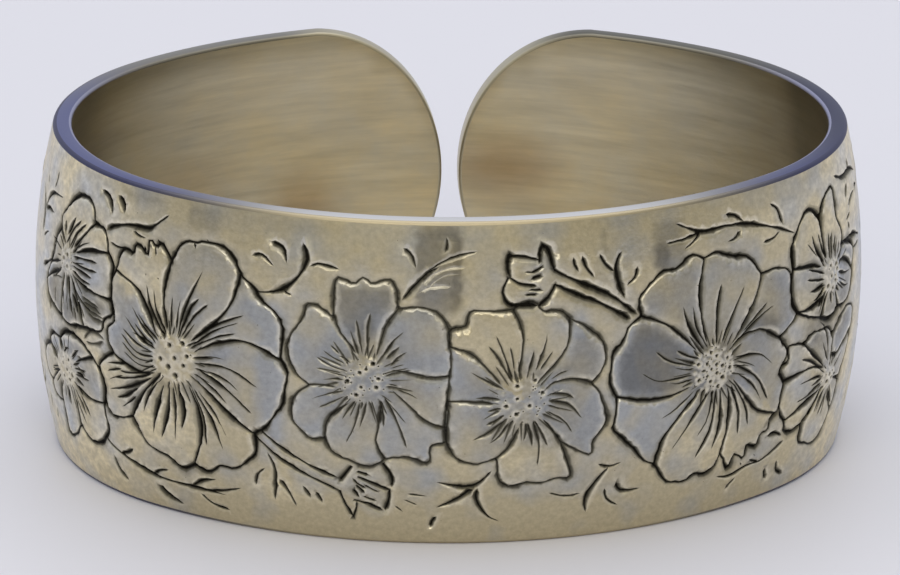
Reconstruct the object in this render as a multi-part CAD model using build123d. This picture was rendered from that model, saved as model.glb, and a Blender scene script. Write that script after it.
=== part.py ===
from build123d import *
from math import atan2, cos, degrees, hypot, pi, radians, sin
import os

# A wide domed cuff bracelet in one piece of silver. It lies on its lower rim, which is the plane
# z = 0, with the middle of its oval plan on the z axis, its flowered front towards -y and the gap
# between its two rounded ends at the back, towards +y.

# Driving dimensions, millimetres and degrees
rim_half_width = 31.0       # outer edge of a rim, from the middle to one side
rim_half_depth = 24.8       # outer edge of a rim, from the middle to the front
side_radius = 21.0          # outer edge of a rim round each side
band_height = 25.8
dome = 1.55                 # how far the band swells outwards at half height
rim_wall = 1.45
middle_wall = 1.9
gap_width = 1.4
gap_offset = 2.3            # the gap sits this far to the right of the back's middle
end_length = 11.5           # length of each end's rounding
edge_round = 0.25
groove_width = 0.36
groove_depth = 0.22
ring_gap = 0.3              # from the beaded middle of a flower to the feet of its petals
skin_out = 1.0              # the grooves are cut by a skin from here outside to groove_depth inside
tool_lift = 1.5             # engraving tools start this far off the band, and are tool_length deep
tool_length = 6.0
cut_over = 2.0              # cutting shapes run this far past the metal
rim_pass = 0.05             # each end's curve runs this far outside the rims, to meet them cleanly

# The oval plan has four arcs, which meet where the normal stands at join_angle to the x axis.
front_radius = (((rim_half_width - side_radius) ** 2 + rim_half_depth ** 2 - side_radius ** 2)
                / (2 * (rim_half_depth - side_radius)))
side_centre = rim_half_width - side_radius
front_centre = front_radius - rim_half_depth
join_angle = degrees(atan2(front_centre, side_centre))
front_arc = front_radius * radians(90 - join_angle)
side_arc = side_radius * radians(2 * join_angle)
half_height = band_height / 2

# Each flower kind is a table of its petals, counter-clockwise. A petal starts at a fold, which
# rises from the foot angle on the middle's ring to fold_deg, fold_r and swings aside by bow
# degrees. The rim radii are spaced evenly from that fold to the next.
# fold_deg, fold_r, foot_deg, bow, rim radii
LARGE = dict(middle=1.9, petals=(
    (9, 8.75, 28, 7, (9.1, 9.6, 9.6, 9.1, 9.2)),
    (55, 9.2, 50, -6, (9.8, 10.05, 9.85, 9.45, 9.1)),
    (94.5, 7.5, 106, 2, (9.0, 8.1, 8.8, 8.9, 8.3)),
    (135, 8.05, 135, -9, (7.5, 6.7, 5.8, 6.3, 6.2)),
    (189.3, 5.8, 224, 0, (7.5, 7.7, 8.1, 8.7, 8.5)),
    (235, 7.0, 231, -2, (7.5, 8.15, 8.3, 8.4, 9.1)),
    (279.4, 8.6, 305, 2, (9.3, 8.9, 9.5, 9.4, 9.2)),
    (323.2, 8.2, 327, -3, (8.6, 8.75, 9.05, 9.0, 9.2))))
TULIP = dict(middle=1.8, petals=(
    (5, 6.2, 27, -9, (6.5, 6.8, 7.4, 7.5, 7.0)),
    (67, 6.1, 66, 4, (7.3, 8.0, 7.75, 7.5, 7.9, 7.45, 7.75, 8.0, 6.7)),
    (116, 5.3, 105, 5, (7.0, 6.4, 6.3, 6.2, 5.7, 5.0)),
    (190, 4.1, 200, -3, (5.4, 6.1, 6.5, 6.45, 6.5)),
    (240, 5.8, 241, -9, (6.4, 6.6, 6.7, 7.1, 7.0)),
    (283, 6.55, 306, -12, (6.6, 7.0, 8.1, 7.1, 7.7)),
    (328, 7.1, 343, -9, (6.6, 6.2, 6.1))))
OPEN = dict(middle=1.8, petals=(
    (11, 5.2, 32, 3, (6.3, 7.0, 7.3, 7.25, 7.2)),
    (60.5, 7.1, 53, -6, (7.35, 7.3, 7.1, 7.8, 7.6)),
    (96, 7.2, 99, -7, (7.3, 7.6, 8.1, 7.3, 7.8)),
    (140.5, 7.0, 140, -6, (6.1, 5.8, 5.5)),
    (179, 5.5, 184, -2, (5.7, 6.1, 6.5, 6.6, 6.0)),
    (248.4, 5.0, 263, 2, (6.8, 7.1, 6.85, 7.1, 7.1, 7.6)),
    (309, 4.65, 314, 0, (7.1, 6.55, 6.6, 6.8, 6.4, 6.0, 5.7))))
RUFFLED = dict(middle=1.9, petals=(
    (8, 6.6, 41, 5, (8.8, 8.65, 9.25, 9.7, 9.1)),
    (53.5, 8.0, 44, -1, (8.4, 8.8, 8.6, 8.75, 9.0)),
    (94, 8.75, 106, 2, (9.3, 9.0, 8.9, 9.3, 9.25, 9.15, 9.0)),
    (139.5, 7.9, 132, -3, (8.4, 8.3, 8.7, 8.6, 8.5)),
    (187, 8.05, 211, 0, (8.3, 8.9, 8.55, 8.4, 8.6)),
    (237.5, 8.5, 236, -6, (8.9, 9.4, 9.4, 9.3, 8.7, 8.9, 8.6)),
    (280, 7.5, 309, -3, (9.0, 8.2, 9.1, 8.7, 9.1, 8.7, 8.4)),
    (321, 8.6, 326, -8, (8.3, 8.0, 7.8, 7.0, 7.2, 7.45, 7.1))))
HORNED = dict(middle=1.3, petals=(
    (40, 2.8, 33, 0, (3.4, 3.75, 3.95, 4.2, 4.7, 6.7, 6.55, 6.2, 5.6)),
    (101.5, 4.9, 107, 2, (6.2, 6.4, 6.25, 6.05, 5.9, 5.4)),
    (159, 5.1, 139, 3, (5.05, 5.0, 4.9)),
    (202, 4.65, 228, 0, (4.0, 3.5)),
    (245, 3.3, 240, 0, (3.4, 3.3)),
    (292, 3.1, 296, 0, (3.8, 4.3, 4.3)),
    (350, 4.3, 386, 0, (4.8, 4.6, 3.6))))
SIDEWAYS = dict(middle=0.9, petals=(
    (34, 5.0, 60, -6, (6.1, 5.9, 5.2, 4.2)),
    (85, 3.4, 85, 0, (4.3, 4.6, 5.2)),
    (134, 5.4, 126, 2, (6.9, 6.3, 6.8)),
    (167, 5.9, 128, 6, (6.1, 6.1)),
    (201.5, 5.7, 212, -3, (5.9, 5.4)),
    (225, 4.1, 224, 2, (5.4, 5.4, 5.5, 5.1, 4.2)),
    (292, 3.5, 286, 2, (2.9, 2.4)),
    (340, 2.3, 340, 0, (2.5, 3.4))))
FAN = dict(middle=1.1, petals=(
    (22, 5.35, 39, 0, (5.6, 5.6)),
    (51, 4.6, 60, -2, (5.5, 5.3, 5.35, 5.05, 4.2, 3.8, 3.55)),
    (126, 2.7, 128, 0, (2.5, 2.5, 2.6)),
    (200, 3.1, 200, 0, (4.4, 5.0, 4.8)),
    (262, 4.8, 255, 0, (5.1, 5.0)),
    (300, 5.3, 300, 0, (5.8, 6.3, 5.9, 6.3)),
    (344.5, 5.7, 319, 4, (5.7, 5.5, 5.7))))
SMALL = dict(middle=1.4, petals=(
    (30, 4.3, 35, 0, (3.9, 3.5, 3.2, 2.9)),
    (112, 2.4, 112, 0, (2.8, 3.3)),
    (160, 3.2, 175, -4, (4.2, 4.6, 4.6)),
    (215, 3.9, 207, 0, (4.2, 3.9)),
    (247, 3.5, 232, 0, (4.2, 5.9, 5.8, 5.4, 4.9)),
    (287, 4.5, 299, 0, (5.8, 6.25, 6.2, 6.1, 5.35)),
    (344.5, 4.95, 329, -2, (5.0, 4.9, 4.7))))

# Where the flowers sit: u runs along the rim from the front's middle, v up from half height.
# kind, u, v, turn, mirrored
FLOWERS = (
    (FAN, -34.9, 5.0, 0, False),
    (SMALL, -35.1, -3.9, 0, False),
    (LARGE, -23.3, 0.3, 0, False),
    (TULIP, -8.4, 0.7, 0, False),
    (OPEN, 3.1, -0.9, 0, False),
    (RUFFLED, 18.2, -0.3, 0, False),
    (HORNED, 31.1, 3.8, 0, False),
    (SIDEWAYS, 31.3, -4.6, 0, False),
    (RUFFLED, 47.6, 0.4, 15, True),
    (OPEN, 63.6, 0.6, 0, True),
    (SMALL, 76.0, 0.2, 60, False),
    (LARGE, -51.6, 0.2, -20, True),
    (TULIP, -67.8, 0.2, 0, True),
    (SMALL, -80.4, 0.4, 150, False))

# Bud stems are pairs of long strokes, each an arc with a sideways bow at its middle.
# u_start, v_start, u_end, v_end, bow, half width
STEMS = (
    (-16.1, -4.4, -10.4, -7.5, -0.45, 0.14),
    (-16.5, -4.9, -10.4, -8.45, -0.55, 0.16),
    (5.5, 9.0, 11.9, 5.0, 0.5, 0.20),
    (5.3, 8.0, 11.2, 4.7, 0.45, 0.20))

# A bud is a cup of sepals with a furled flower in it, drawn along its own axis.
# u, v of the sepals' foot, and the way the bud points
BUDS = (
    (-10.5, -8.0, -12),
    (5.3, 8.6, 176))
# along, across, for the cup and for the furled flower beyond it
BUD_CUP = ((0.0, 0.45), (0.5, 1.3), (1.0, 2.3), (1.35, 1.2), (1.3, 0.2), (1.35, -0.8),
           (1.15, -2.2), (0.4, -1.3), (0.0, -0.45))
BUD_BLOOM = ((1.6, 1.2), (3.0, 1.9), (3.9, 1.4), (3.8, 0.3), (3.9, -0.7), (3.1, -1.5), (1.6, -1.2))


def band_point(u, swell):
    """Point at u along the rim's outer edge, moved out by swell, and the normal there."""
    side = -1 if u < 0 else 1
    run = abs(u)
    if run <= front_arc:
        turn = -pi / 2 + run / front_radius
        x, y, reach = 0, front_centre, front_radius
    elif run <= front_arc + side_arc:
        turn = radians(-join_angle) + (run - front_arc) / side_radius
        x, y, reach = side_centre, 0, side_radius
    else:
        turn = radians(join_angle) + (run - front_arc - side_arc) / front_radius
        x, y, reach = 0, -front_centre, front_radius
    nx, ny = side * cos(turn), sin(turn)
    return side * (x + (reach + swell) * cos(turn)), y + (reach + swell) * ny, nx, ny


def tangent_plane(u, v):
    """Plane that touches the band's face at u and v, with its x axis along the band."""
    x, y, nx, ny = band_point(u, dome * (1 - (v / half_height) ** 2))
    face_lean = 2 * dome * v / half_height ** 2
    return Plane(origin=(x, y, half_height + v), x_dir=(-ny, nx, 0), z_dir=(nx, ny, face_lean))


def band_profile(radius, outer, inner_rim, inner_middle):
    """Half section of the band at this rim radius: outer face moved out, inner face moved in."""
    top, low = (radius + outer, band_height), (radius + outer, 0)
    inner_top, inner_low = (radius - inner_rim, band_height), (radius - inner_rim, 0)
    outline = (ThreePointArc(low, (radius + outer + dome, half_height), top)
               + Line(top, inner_top)
               + ThreePointArc(inner_top, (radius + dome - inner_middle, half_height), inner_low)
               + Line(inner_low, low))
    return Plane.XZ * make_face(outline)


def oval_ring(outer, inner_rim, inner_middle):
    """Closed ring on the four-arc plan, each stretch turned about its own arc's centre."""
    front_sweep, side_sweep = 180 - 2 * join_angle, 2 * join_angle
    stretches = ((0, front_centre, front_radius, 180 + join_angle, front_sweep),
                 (side_centre, 0, side_radius, -join_angle, side_sweep),
                 (0, -front_centre, front_radius, join_angle, front_sweep),
                 (-side_centre, 0, side_radius, 180 - join_angle, side_sweep))
    ring = None
    for x, y, radius, start, sweep in stretches:
        profile = band_profile(radius, outer, inner_rim, inner_middle)
        stretch = Pos(x, y, 0) * Rot(0, 0, start) * revolve(profile, Axis.Z, sweep)
        ring = stretch if ring is None else ring + stretch
    return ring


def gap_cutter():
    """Everything between the two rounded ends, through the whole back wall."""
    region = Pos(gap_offset, half_height) * Rectangle(gap_width + 2 * end_length,
                                                      band_height + 2 * cut_over)
    for side in (-1, 1):
        middle = gap_offset + side * (gap_width / 2 + end_length)
        region -= Pos(middle, half_height) * Ellipse(end_length, half_height + rim_pass)
    return extrude(Plane.XZ * region, amount=-(rim_half_depth + dome + cut_over))


def mean_point(points):
    return tuple(sum(p[i] for p in points) / len(points) for i in (0, 1))


def grown(points, middle, grow):
    """The points, each moved straight away from the middle by grow."""
    moved = []
    for x, y in points:
        away = hypot(x - middle[0], y - middle[1])
        moved.append((x + grow * (x - middle[0]) / away, y + grow * (y - middle[1]) / away))
    return moved


def petal_outline(kind, index, grow):
    """Outline of one petal, grown on every side, as three edges in a row: fold, rim and fold."""
    petals = kind["petals"]
    foot_r = kind["middle"] + ring_gap
    row, after = petals[index], petals[(index + 1) % len(petals)]
    wrap = 360 if index + 1 == len(petals) else 0

    def fold(deg, radius, foot, bow):
        points = []
        for step in range(4):
            t = step / 3
            angle = radians(foot + (deg - foot) * t + 4 * bow * t * (1 - t))
            reach = foot_r + (radius - foot_r) * t
            points.append((reach * cos(angle), reach * sin(angle)))
        return points

    first = fold(row[0], row[1], row[2], row[3])
    last = fold(after[0] + wrap, after[1], after[2] + wrap, after[3])
    rim = [first[-1]]
    for step, reach in enumerate(row[4], 1):
        angle = radians(row[0] + (after[0] + wrap - row[0]) * step / (len(row[4]) + 1))
        rim.append((reach * cos(angle), reach * sin(angle)))
    rim.append(last[-1])
    middle = mean_point(first + rim + last)
    return [grown(edge, middle, grow) for edge in (first, rim, last[::-1])]


def petal_face(kind, index, grow):
    first, rim, last = petal_outline(kind, index, grow)
    outline = Spline(*first) + Polyline(*rim) + Spline(*last) + Line(last[-1], first[0])
    return make_face(outline)


def flower_grooves(kind):
    """The engraved lines of one flower, laid flat: round every petal and round the middle."""
    half = groove_width / 2
    lines = Circle(kind["middle"] + half)
    pads = Circle(kind["middle"] - half)
    for index in range(len(kind["petals"])):
        lines += petal_face(kind, index, half)
        pads += petal_face(kind, index, -half)
    return lines - pads


def stroke_face(u_start, v_start, u_end, v_end, bow, half):
    """Lens-shaped stroke between two points, laid flat about its start."""
    du, dv = u_end - u_start, v_end - v_start
    length = hypot(du, dv)
    middle_x, middle_y = du / 2, dv / 2
    side_x, side_y = -dv / length, du / length
    high = (middle_x + side_x * (bow + half), middle_y + side_y * (bow + half))
    low = (middle_x + side_x * (bow - half), middle_y + side_y * (bow - half))
    edges = ThreePointArc((0, 0), high, (du, dv)) + ThreePointArc((du, dv), low, (0, 0))
    return make_face(edges)


def bud_face():
    """Grooves round a bud's cup and its furled flower."""
    half = groove_width / 2
    rings = None
    for outline in (BUD_CUP, BUD_BLOOM):
        middle = mean_point(outline)
        line = make_face(Polyline(*grown(outline, middle, half), close=True))
        ring = line - make_face(Polyline(*grown(outline, middle, -half), close=True))
        rings = ring if rings is None else rings + ring
    return rings


def engraving_tools():
    """Flat groove outlines set square on the band where they belong, as deep prisms."""
    tools = []
    for kind, u, v, turn, mirrored in FLOWERS:
        flat = Rot(0, 0, turn) * flower_grooves(kind)
        if mirrored:
            flat = mirror(flat, Plane.YZ)
        tools.append((u, v, flat))
    for row in STEMS:
        tools.append((row[0], row[1], stroke_face(*row)))
    for u, v, turn in BUDS:
        tools.append((u, v, Rot(0, 0, turn) * bud_face()))
    prisms = []
    for u, v, flat in tools:
        placed = tangent_plane(u, v) * (Pos(0, 0, tool_lift) * flat)
        prisms.append(extrude(placed, amount=-tool_length))
    return prisms


def build_cuff():
    band = oval_ring(0, rim_wall, middle_wall) - gap_cutter()
    seams = [edge for edge in band.edges()
             if edge.geom_type == GeomType.CIRCLE and abs(edge.center().Z - half_height) < edge_round]
    band = fillet([edge for edge in band.edges() if edge not in seams], edge_round)
    skin = oval_ring(skin_out, groove_depth, groove_depth)
    for prism in engraving_tools():
        band -= skin & prism
    return band


if __name__ == "__main__":
    os.makedirs("parts", exist_ok=True)
    cuff = build_cuff()
    export_step(cuff, "parts/cuff.step")
    print("cuff: volume", round(cuff.volume, 1), "mm3, solids", len(cuff.solids()))
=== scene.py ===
# %% [markdown]
# # An engraved silver cuff
#
# A cuff bracelet is one strip of silver, engraved while it was flat, then domed and bent round an
# oval steel former until its two rounded ends nearly meet. We build it in the same order: a flat
# blank with the engraving cut into it, soft edges all round, then one bend. The measured part from
# the CAD program comes in first, and everything below is made in its frame, in metres.

# %% Load the measured cuff
from math import asin, atan2, ceil, cos, pi, radians, sin

import bpy
import numpy as np
from mathutils import Matrix, Vector
from mathutils.geometry import delaunay_2d_cdt


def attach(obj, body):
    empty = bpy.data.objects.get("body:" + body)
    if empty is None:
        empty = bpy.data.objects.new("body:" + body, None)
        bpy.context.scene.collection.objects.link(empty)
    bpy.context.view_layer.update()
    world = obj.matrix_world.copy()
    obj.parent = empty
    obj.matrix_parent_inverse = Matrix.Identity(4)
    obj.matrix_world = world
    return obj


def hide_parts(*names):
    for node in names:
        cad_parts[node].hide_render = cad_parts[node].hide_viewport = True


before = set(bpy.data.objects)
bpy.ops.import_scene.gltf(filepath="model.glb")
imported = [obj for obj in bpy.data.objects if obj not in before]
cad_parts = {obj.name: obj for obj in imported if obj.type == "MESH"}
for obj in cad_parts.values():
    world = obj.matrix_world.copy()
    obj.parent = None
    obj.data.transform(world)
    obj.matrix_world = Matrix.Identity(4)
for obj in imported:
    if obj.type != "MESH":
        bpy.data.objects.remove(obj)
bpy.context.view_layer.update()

# %% [markdown]
# ## Two small helpers
#
# Colours are given as hex values, as on a paint chart, but Blender counts light, not paint
# numbers, so one function turns them into linear light. Materials here are networks of nodes, so a
# second function adds a node and wires it up in one line.

# %% Colour and node helpers
def linear(hex_colour):
    """Linear red, green, blue and alpha of an sRGB colour such as #C4B99B."""
    parts = [int(hex_colour[i:i + 2], 16) / 255 for i in (1, 3, 5)]
    return [p / 12.92 if p <= 0.04045 else ((p + 0.055) / 1.055) ** 2.4 for p in parts] + [1.0]


def add_node(tree, kind, sockets=(), **settings):
    """Add a node, set its options, and fill its sockets with values or with other nodes' outputs."""
    made = tree.nodes.new(kind)
    for name, value in settings.items():
        setattr(made, name, value)
    for name, value in dict(sockets).items():
        if isinstance(value, bpy.types.NodeSocket):
            tree.links.new(value, made.inputs[name])
        else:
            made.inputs[name].default_value = value
    return made


satin_silver = "#C4B99B"
print("satin silver", satin_silver, "is", [round(c, 3) for c in linear(satin_silver)], "in light")

# %% [markdown]
# ## The oval the cuff is bent round
#
# Seen from above, the cuff is an oval of four arcs: two wide ones at the front and back and two
# tight ones at the sides. A maker measures along the strip, so a place on the cuff is given as u,
# the distance along the rim from the middle of the front, and v, the height above the middle of
# the band. `bend` carries a flat point to its place: round the oval, and out by the band's dome.

# %% Sizes in millimetres, and the bend
MM = 0.001
rim_half_width = 31.0       # from the oval's middle to the rim's outer edge
rim_half_depth = 24.8
side_radius = 21.0          # of the tight arcs at the sides
band_height = 25.8
dome = 1.55                 # the middle of the band stands out this far from its rims
rim_wall = 1.45
middle_wall = 1.9
gap_width = 1.4
gap_offset = 2.3            # from the middle of the back to the middle of the gap
end_length = 11.5           # the part of each end that is rounded
edge_round = 0.25

half_height = band_height / 2
side_centre = rim_half_width - side_radius
front_radius = ((side_centre ** 2 + rim_half_depth ** 2 - side_radius ** 2)
                / (2 * (rim_half_depth - side_radius)))
front_centre = front_radius - rim_half_depth
join_angle = atan2(front_centre, side_centre)
front_arc = front_radius * (pi / 2 - join_angle)
side_arc = side_radius * 2 * join_angle
strip_half_length = 2 * front_arc + side_arc


def on_oval(u):
    """Points of the rim's outer edge at u, and the normals there, each as x and y."""
    side, run = np.where(u < 0, -1.0, 1.0), np.abs(u)
    front, back = run <= front_arc, run > front_arc + side_arc
    turn = np.where(front, -pi / 2 + run / front_radius,
                    np.where(back, join_angle + (run - front_arc - side_arc) / front_radius,
                             -join_angle + (run - front_arc) / side_radius))
    wide = front | back
    reach = np.where(wide, front_radius, side_radius)
    x = np.where(wide, 0.0, side_centre) + reach * np.cos(turn)
    y = np.where(front, front_centre, np.where(back, -front_centre, 0.0)) + reach * np.sin(turn)
    return side * x, y, side * np.cos(turn), np.sin(turn)


def swell(v):
    """How far the outer face stands out from the rim at height v."""
    return dome * (1 - (v / half_height) ** 2)


def wall(v):
    """How thick the silver is at height v."""
    return rim_wall + (middle_wall - rim_wall) * (1 - (v / half_height) ** 2)


def bend(flat):
    """Places on the cuff, in metres, of points u, v, depth on the flat strip."""
    x, y, nx, ny = on_oval(flat[:, 0])
    out = swell(flat[:, 1]) + flat[:, 2]
    return np.stack([x + nx * out, y + ny * out, half_height + flat[:, 1]], 1) * MM


print("strip half length", round(strip_half_length, 2), "front radius", round(front_radius, 2))

# %% [markdown]
# ## Engraved lines
#
# A graver is a small steel chisel with a V edge. Pushed into silver it throws up a groove that
# starts fine, swells as the hand leans in, and runs out fine again. So a cut here is a line with a
# width that swells and a depth that follows the width. We only list the cuts first. The metal
# itself is made afterwards, with just enough points to hold every groove.

# %% The list of cuts
groove_spacing = 0.36       # distance between the points along a cut
curve_step = 1 / 8          # of the way from one charted point to the next
swing = 0.4                 # how much a stroke's width changes as the hand leans in and out
waver = 0.12                # how far a ragged stroke strays from its line
hand = np.random.default_rng(7)     # the small unsteadiness of the engraver's hand
cuts = []


def pairs(places):
    """The points of a row that gives u, v, u, v and so on."""
    return list(zip(places[::2], places[1::2]))


def line_through(points, spacing=groove_spacing):
    """Smooth line through given points, as evenly spaced points."""
    knots = [np.array(p, float) for p in points]
    if len(knots) == 2:
        dense = [knots[0], knots[1]]
    else:
        padded = [2 * knots[0] - knots[1]] + knots + [2 * knots[-1] - knots[-2]]
        dense = []
        for before, start, end, after in zip(padded, padded[1:], padded[2:], padded[3:]):
            for t in np.arange(0, 1, curve_step):
                dense.append(0.5 * (2 * start + (end - before) * t
                                    + (2 * before - 5 * start + 4 * end - after) * t * t
                                    + (3 * start - before - 3 * end + after) * t ** 3))
        dense.append(knots[-1])
    dense = np.array(dense)
    run = np.concatenate([[0], np.cumsum(np.hypot(*np.diff(dense, axis=0).T))])
    steps = max(2, ceil(run[-1] / spacing))
    at = np.linspace(0, run[-1], steps + 1)
    return np.stack([np.interp(at, run, dense[:, i]) for i in (0, 1)], 1)


# %% One cut, and one pit
def cut(points, width, start=0.3, end=0.6, ragged=0.0, dip=0.0, ink=1.0, lean=1.0):
    """Engrave a line. It swells from nothing over the first part of its length, and runs out.
    ragged makes its edges rough, and dip presses the metal down softly on both sides of it. ink is
    how much of the black it has kept, and below zero the line is drawn as a painted highlight instead.
    lean goes from 0 for an upright graver to 1 for one that leans and leaves a grey flank."""
    line = line_through(points)
    along = np.linspace(0, 1, len(line))
    grow = np.ones(len(line))
    if start:
        grow = np.minimum(grow, (along / start) ** 0.5)
    if end:
        grow = np.minimum(grow, ((1 - along) / end) ** 0.5)
    rough = hand.normal(size=(3, len(line)))
    mm_along = groove_spacing * np.arange(len(line))
    lean_in = np.sin(2 * pi * mm_along / hand.uniform(3.0, 7.0) + hand.uniform(0, 6))
    half = (0.5 * width * grow * (1 + swing * lean_in)
            * np.clip(1 + ragged * rough[0], 0.6, 1.5))
    line[1:-1] += waver * ragged * rough[1:, 1:-1].T
    cuts.append((line, half, dip, ink, lean))


def punch(u, v, width, ink=1.0):
    """A round pit from a pointed punch."""
    cuts.append((np.array([[u, v]], float), np.array([0.5 * width]), 0.0, ink, 0.0))


print("a point every", groove_spacing, "millimetres along a cut")

# %% [markdown]
# ## Flowers
#
# Every flower is a beaded middle with petals that overlap their neighbours. A petal is drawn by
# its fold, the long line from the middle out to the rim, and by its ragged rim. Fine veins then
# fan out of the middle over each petal. The tables are charted in millimetres from the
# flower's middle, so a kind of flower can be engraved again elsewhere, turned or mirrored.

# %% A large flower
# petals: fold_deg, fold_r, foot_deg, bow, rim radii spaced evenly to the next fold
# veins: width, then the vein's foot, middle and tip, each across and up
# pits: across, up
# middle and pit_width are sizes, and the rest say how the middle looks: how much darker it is, how
# many rings of beads it has, and how much painted highlight the beads get
LARGE = dict(middle=1.9, petals=(
    (9, 8.75, 28, 7, (9.1, 9.6, 9.6, 9.1, 9.2)),
    (55, 9.2, 50, -6, (9.8, 10.05, 9.85, 9.45, 9.1)),
    (94.5, 7.5, 106, 2, (8.3, 8.85, 8.55, 9.15, 8.0, 8.75, 8.95, 8.4, 8.95, 8.95, 8.65, 8.2)),
    (135, 8.05, 135, -9, (7.5, 6.7, 5.8, 6.3, 6.2)),
    (189.3, 5.8, 224, 0, (7.5, 7.7, 8.1, 8.7, 8.5)),
    (235, 7.0, 231, -2, (7.5, 8.15, 8.3, 8.4, 9.1)),
    (279.4, 8.6, 305, 2, (9.3, 8.9, 9.5, 9.4, 9.2)),
    (323.2, 8.2, 327, -3, (8.6, 8.75, 9.05, 9.0, 9.2))), veins=(
    (0.22, 0.4, 2.0, 0.95, 4.4, 2.35, 7.55), (0.30, 0.6, 2.3, 1.3, 4.2, 2.15, 5.25),
    (0.28, 0.8, 2.2, 1.7, 3.7, 2.9, 4.9), (0.26, -0.25, 2.75, -0.25, 3.85, -0.2, 4.95),
    (0.14, 0.25, 2.75, 0.35, 3.85, 0.55, 4.9), (0.26, -0.95, 1.95, -2.05, 3.3, -2.6, 5.4),
    (0.24, -0.7, 2.0, -1.6, 3.55, -1.9, 5.15), (0.16, -1.7, 1.0, -2.75, 1.9, -4.0, 3.55),
    (0.18, -1.5, 1.3, -2.3, 1.85, -3.35, 3.0), (0.18, -1.9, 0.5, -3.0, 0.95, -4.6, 2.55),
    (0.18, -2.0, 0.1, -3.3, 0.45, -4.7, 1.4), (0.18, -1.95, -0.3, -3.3, -0.25, -4.9, 0.95),
    (0.16, -2.0, -0.8, -3.35, -0.7, -4.8, 0.3), (0.14, -1.8, -1.25, -3.15, -1.2, -4.6, -0.45),
    (0.16, -2.2, 0.75, -2.75, 1.2, -3.6, 2.15), (0.2, -2.3, -1.8, -3.85, -2.1, -5.1, -2.2),
    (0.24, -2.3, -2.05, -4.0, -2.55, -5.65, -2.9), (0.3, -2.2, -2.3, -4.0, -3.25, -6.2, -4.05),
    (0.26, -3.8, -3.7, -4.6, -4.2, -5.5, -4.55), (0.2, -4.1, -4.6, -4.6, -4.95, -5.05, -5.2),
    (0.16, -4.95, -1.75, -5.6, -1.75, -6.35, -1.95), (0.16, -5.6, -2.35, -6.0, -2.45, -6.35, -2.65),
    (0.16, -5.5, -2.95, -5.9, -3.1, -6.2, -3.35), (0.22, -1.5, -2.4, -2.3, -3.5, -2.9, -5.2),
    (0.32, -0.95, -2.6, -1.6, -4.5, -2.1, -6.7), (0.34, -0.4, -2.6, -0.6, -4.5, -1.35, -6.95),
    (0.2, -0.05, -2.6, 0.1, -4.2, -0.1, -6.9), (0.32, 0.4, -2.4, 0.85, -3.95, 0.55, -5.75),
    (0.24, 1.8, -2.35, 2.45, -4.2, 2.65, -6.7), (0.26, 2.05, -2.4, 3.15, -4.3, 4.05, -6.8),
    (0.14, 2.35, -2.35, 3.4, -3.7, 4.45, -5.65), (0.16, 2.45, -1.1, 3.5, -1.85, 4.55, -2.85),
    (0.26, 2.35, -0.4, 4.35, -1.55, 6.5, -3.3), (0.16, 3.4, -0.45, 4.5, -0.9, 5.55, -1.7),
    (0.2, 2.35, 0.1, 4.6, 0.1, 7.0, -1.1), (0.22, 1.7, 1.9, 3.5, 3.35, 5.85, 4.55),
    (0.18, 1.85, 1.6, 3.5, 2.95, 5.45, 3.9), (0.18, 2.25, 1.7, 3.65, 2.45, 5.25, 3.0),
    (0.12, 2.2, 0.6, 3.4, 0.8, 4.6, 0.75)), pits=(
    (-0.3, 1.05), (0.8, 1.4), (0.15, 0.1), (1.2, 0.45), (-0.4, -0.7), (0.9, -0.35), (0.2, -1.3),
    (-0.85, 1.75), (-1.1, -0.2)), pit_width=0.62, middle_film=0.1, bead_rows=1,
    bead_shine=0.6)


def describe(name, kind):
    print(name, "flower:", len(kind["petals"]), "petals,", len(kind["veins"]), "veins,",
          len(kind["pits"]), "pits")


describe("large", LARGE)

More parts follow.
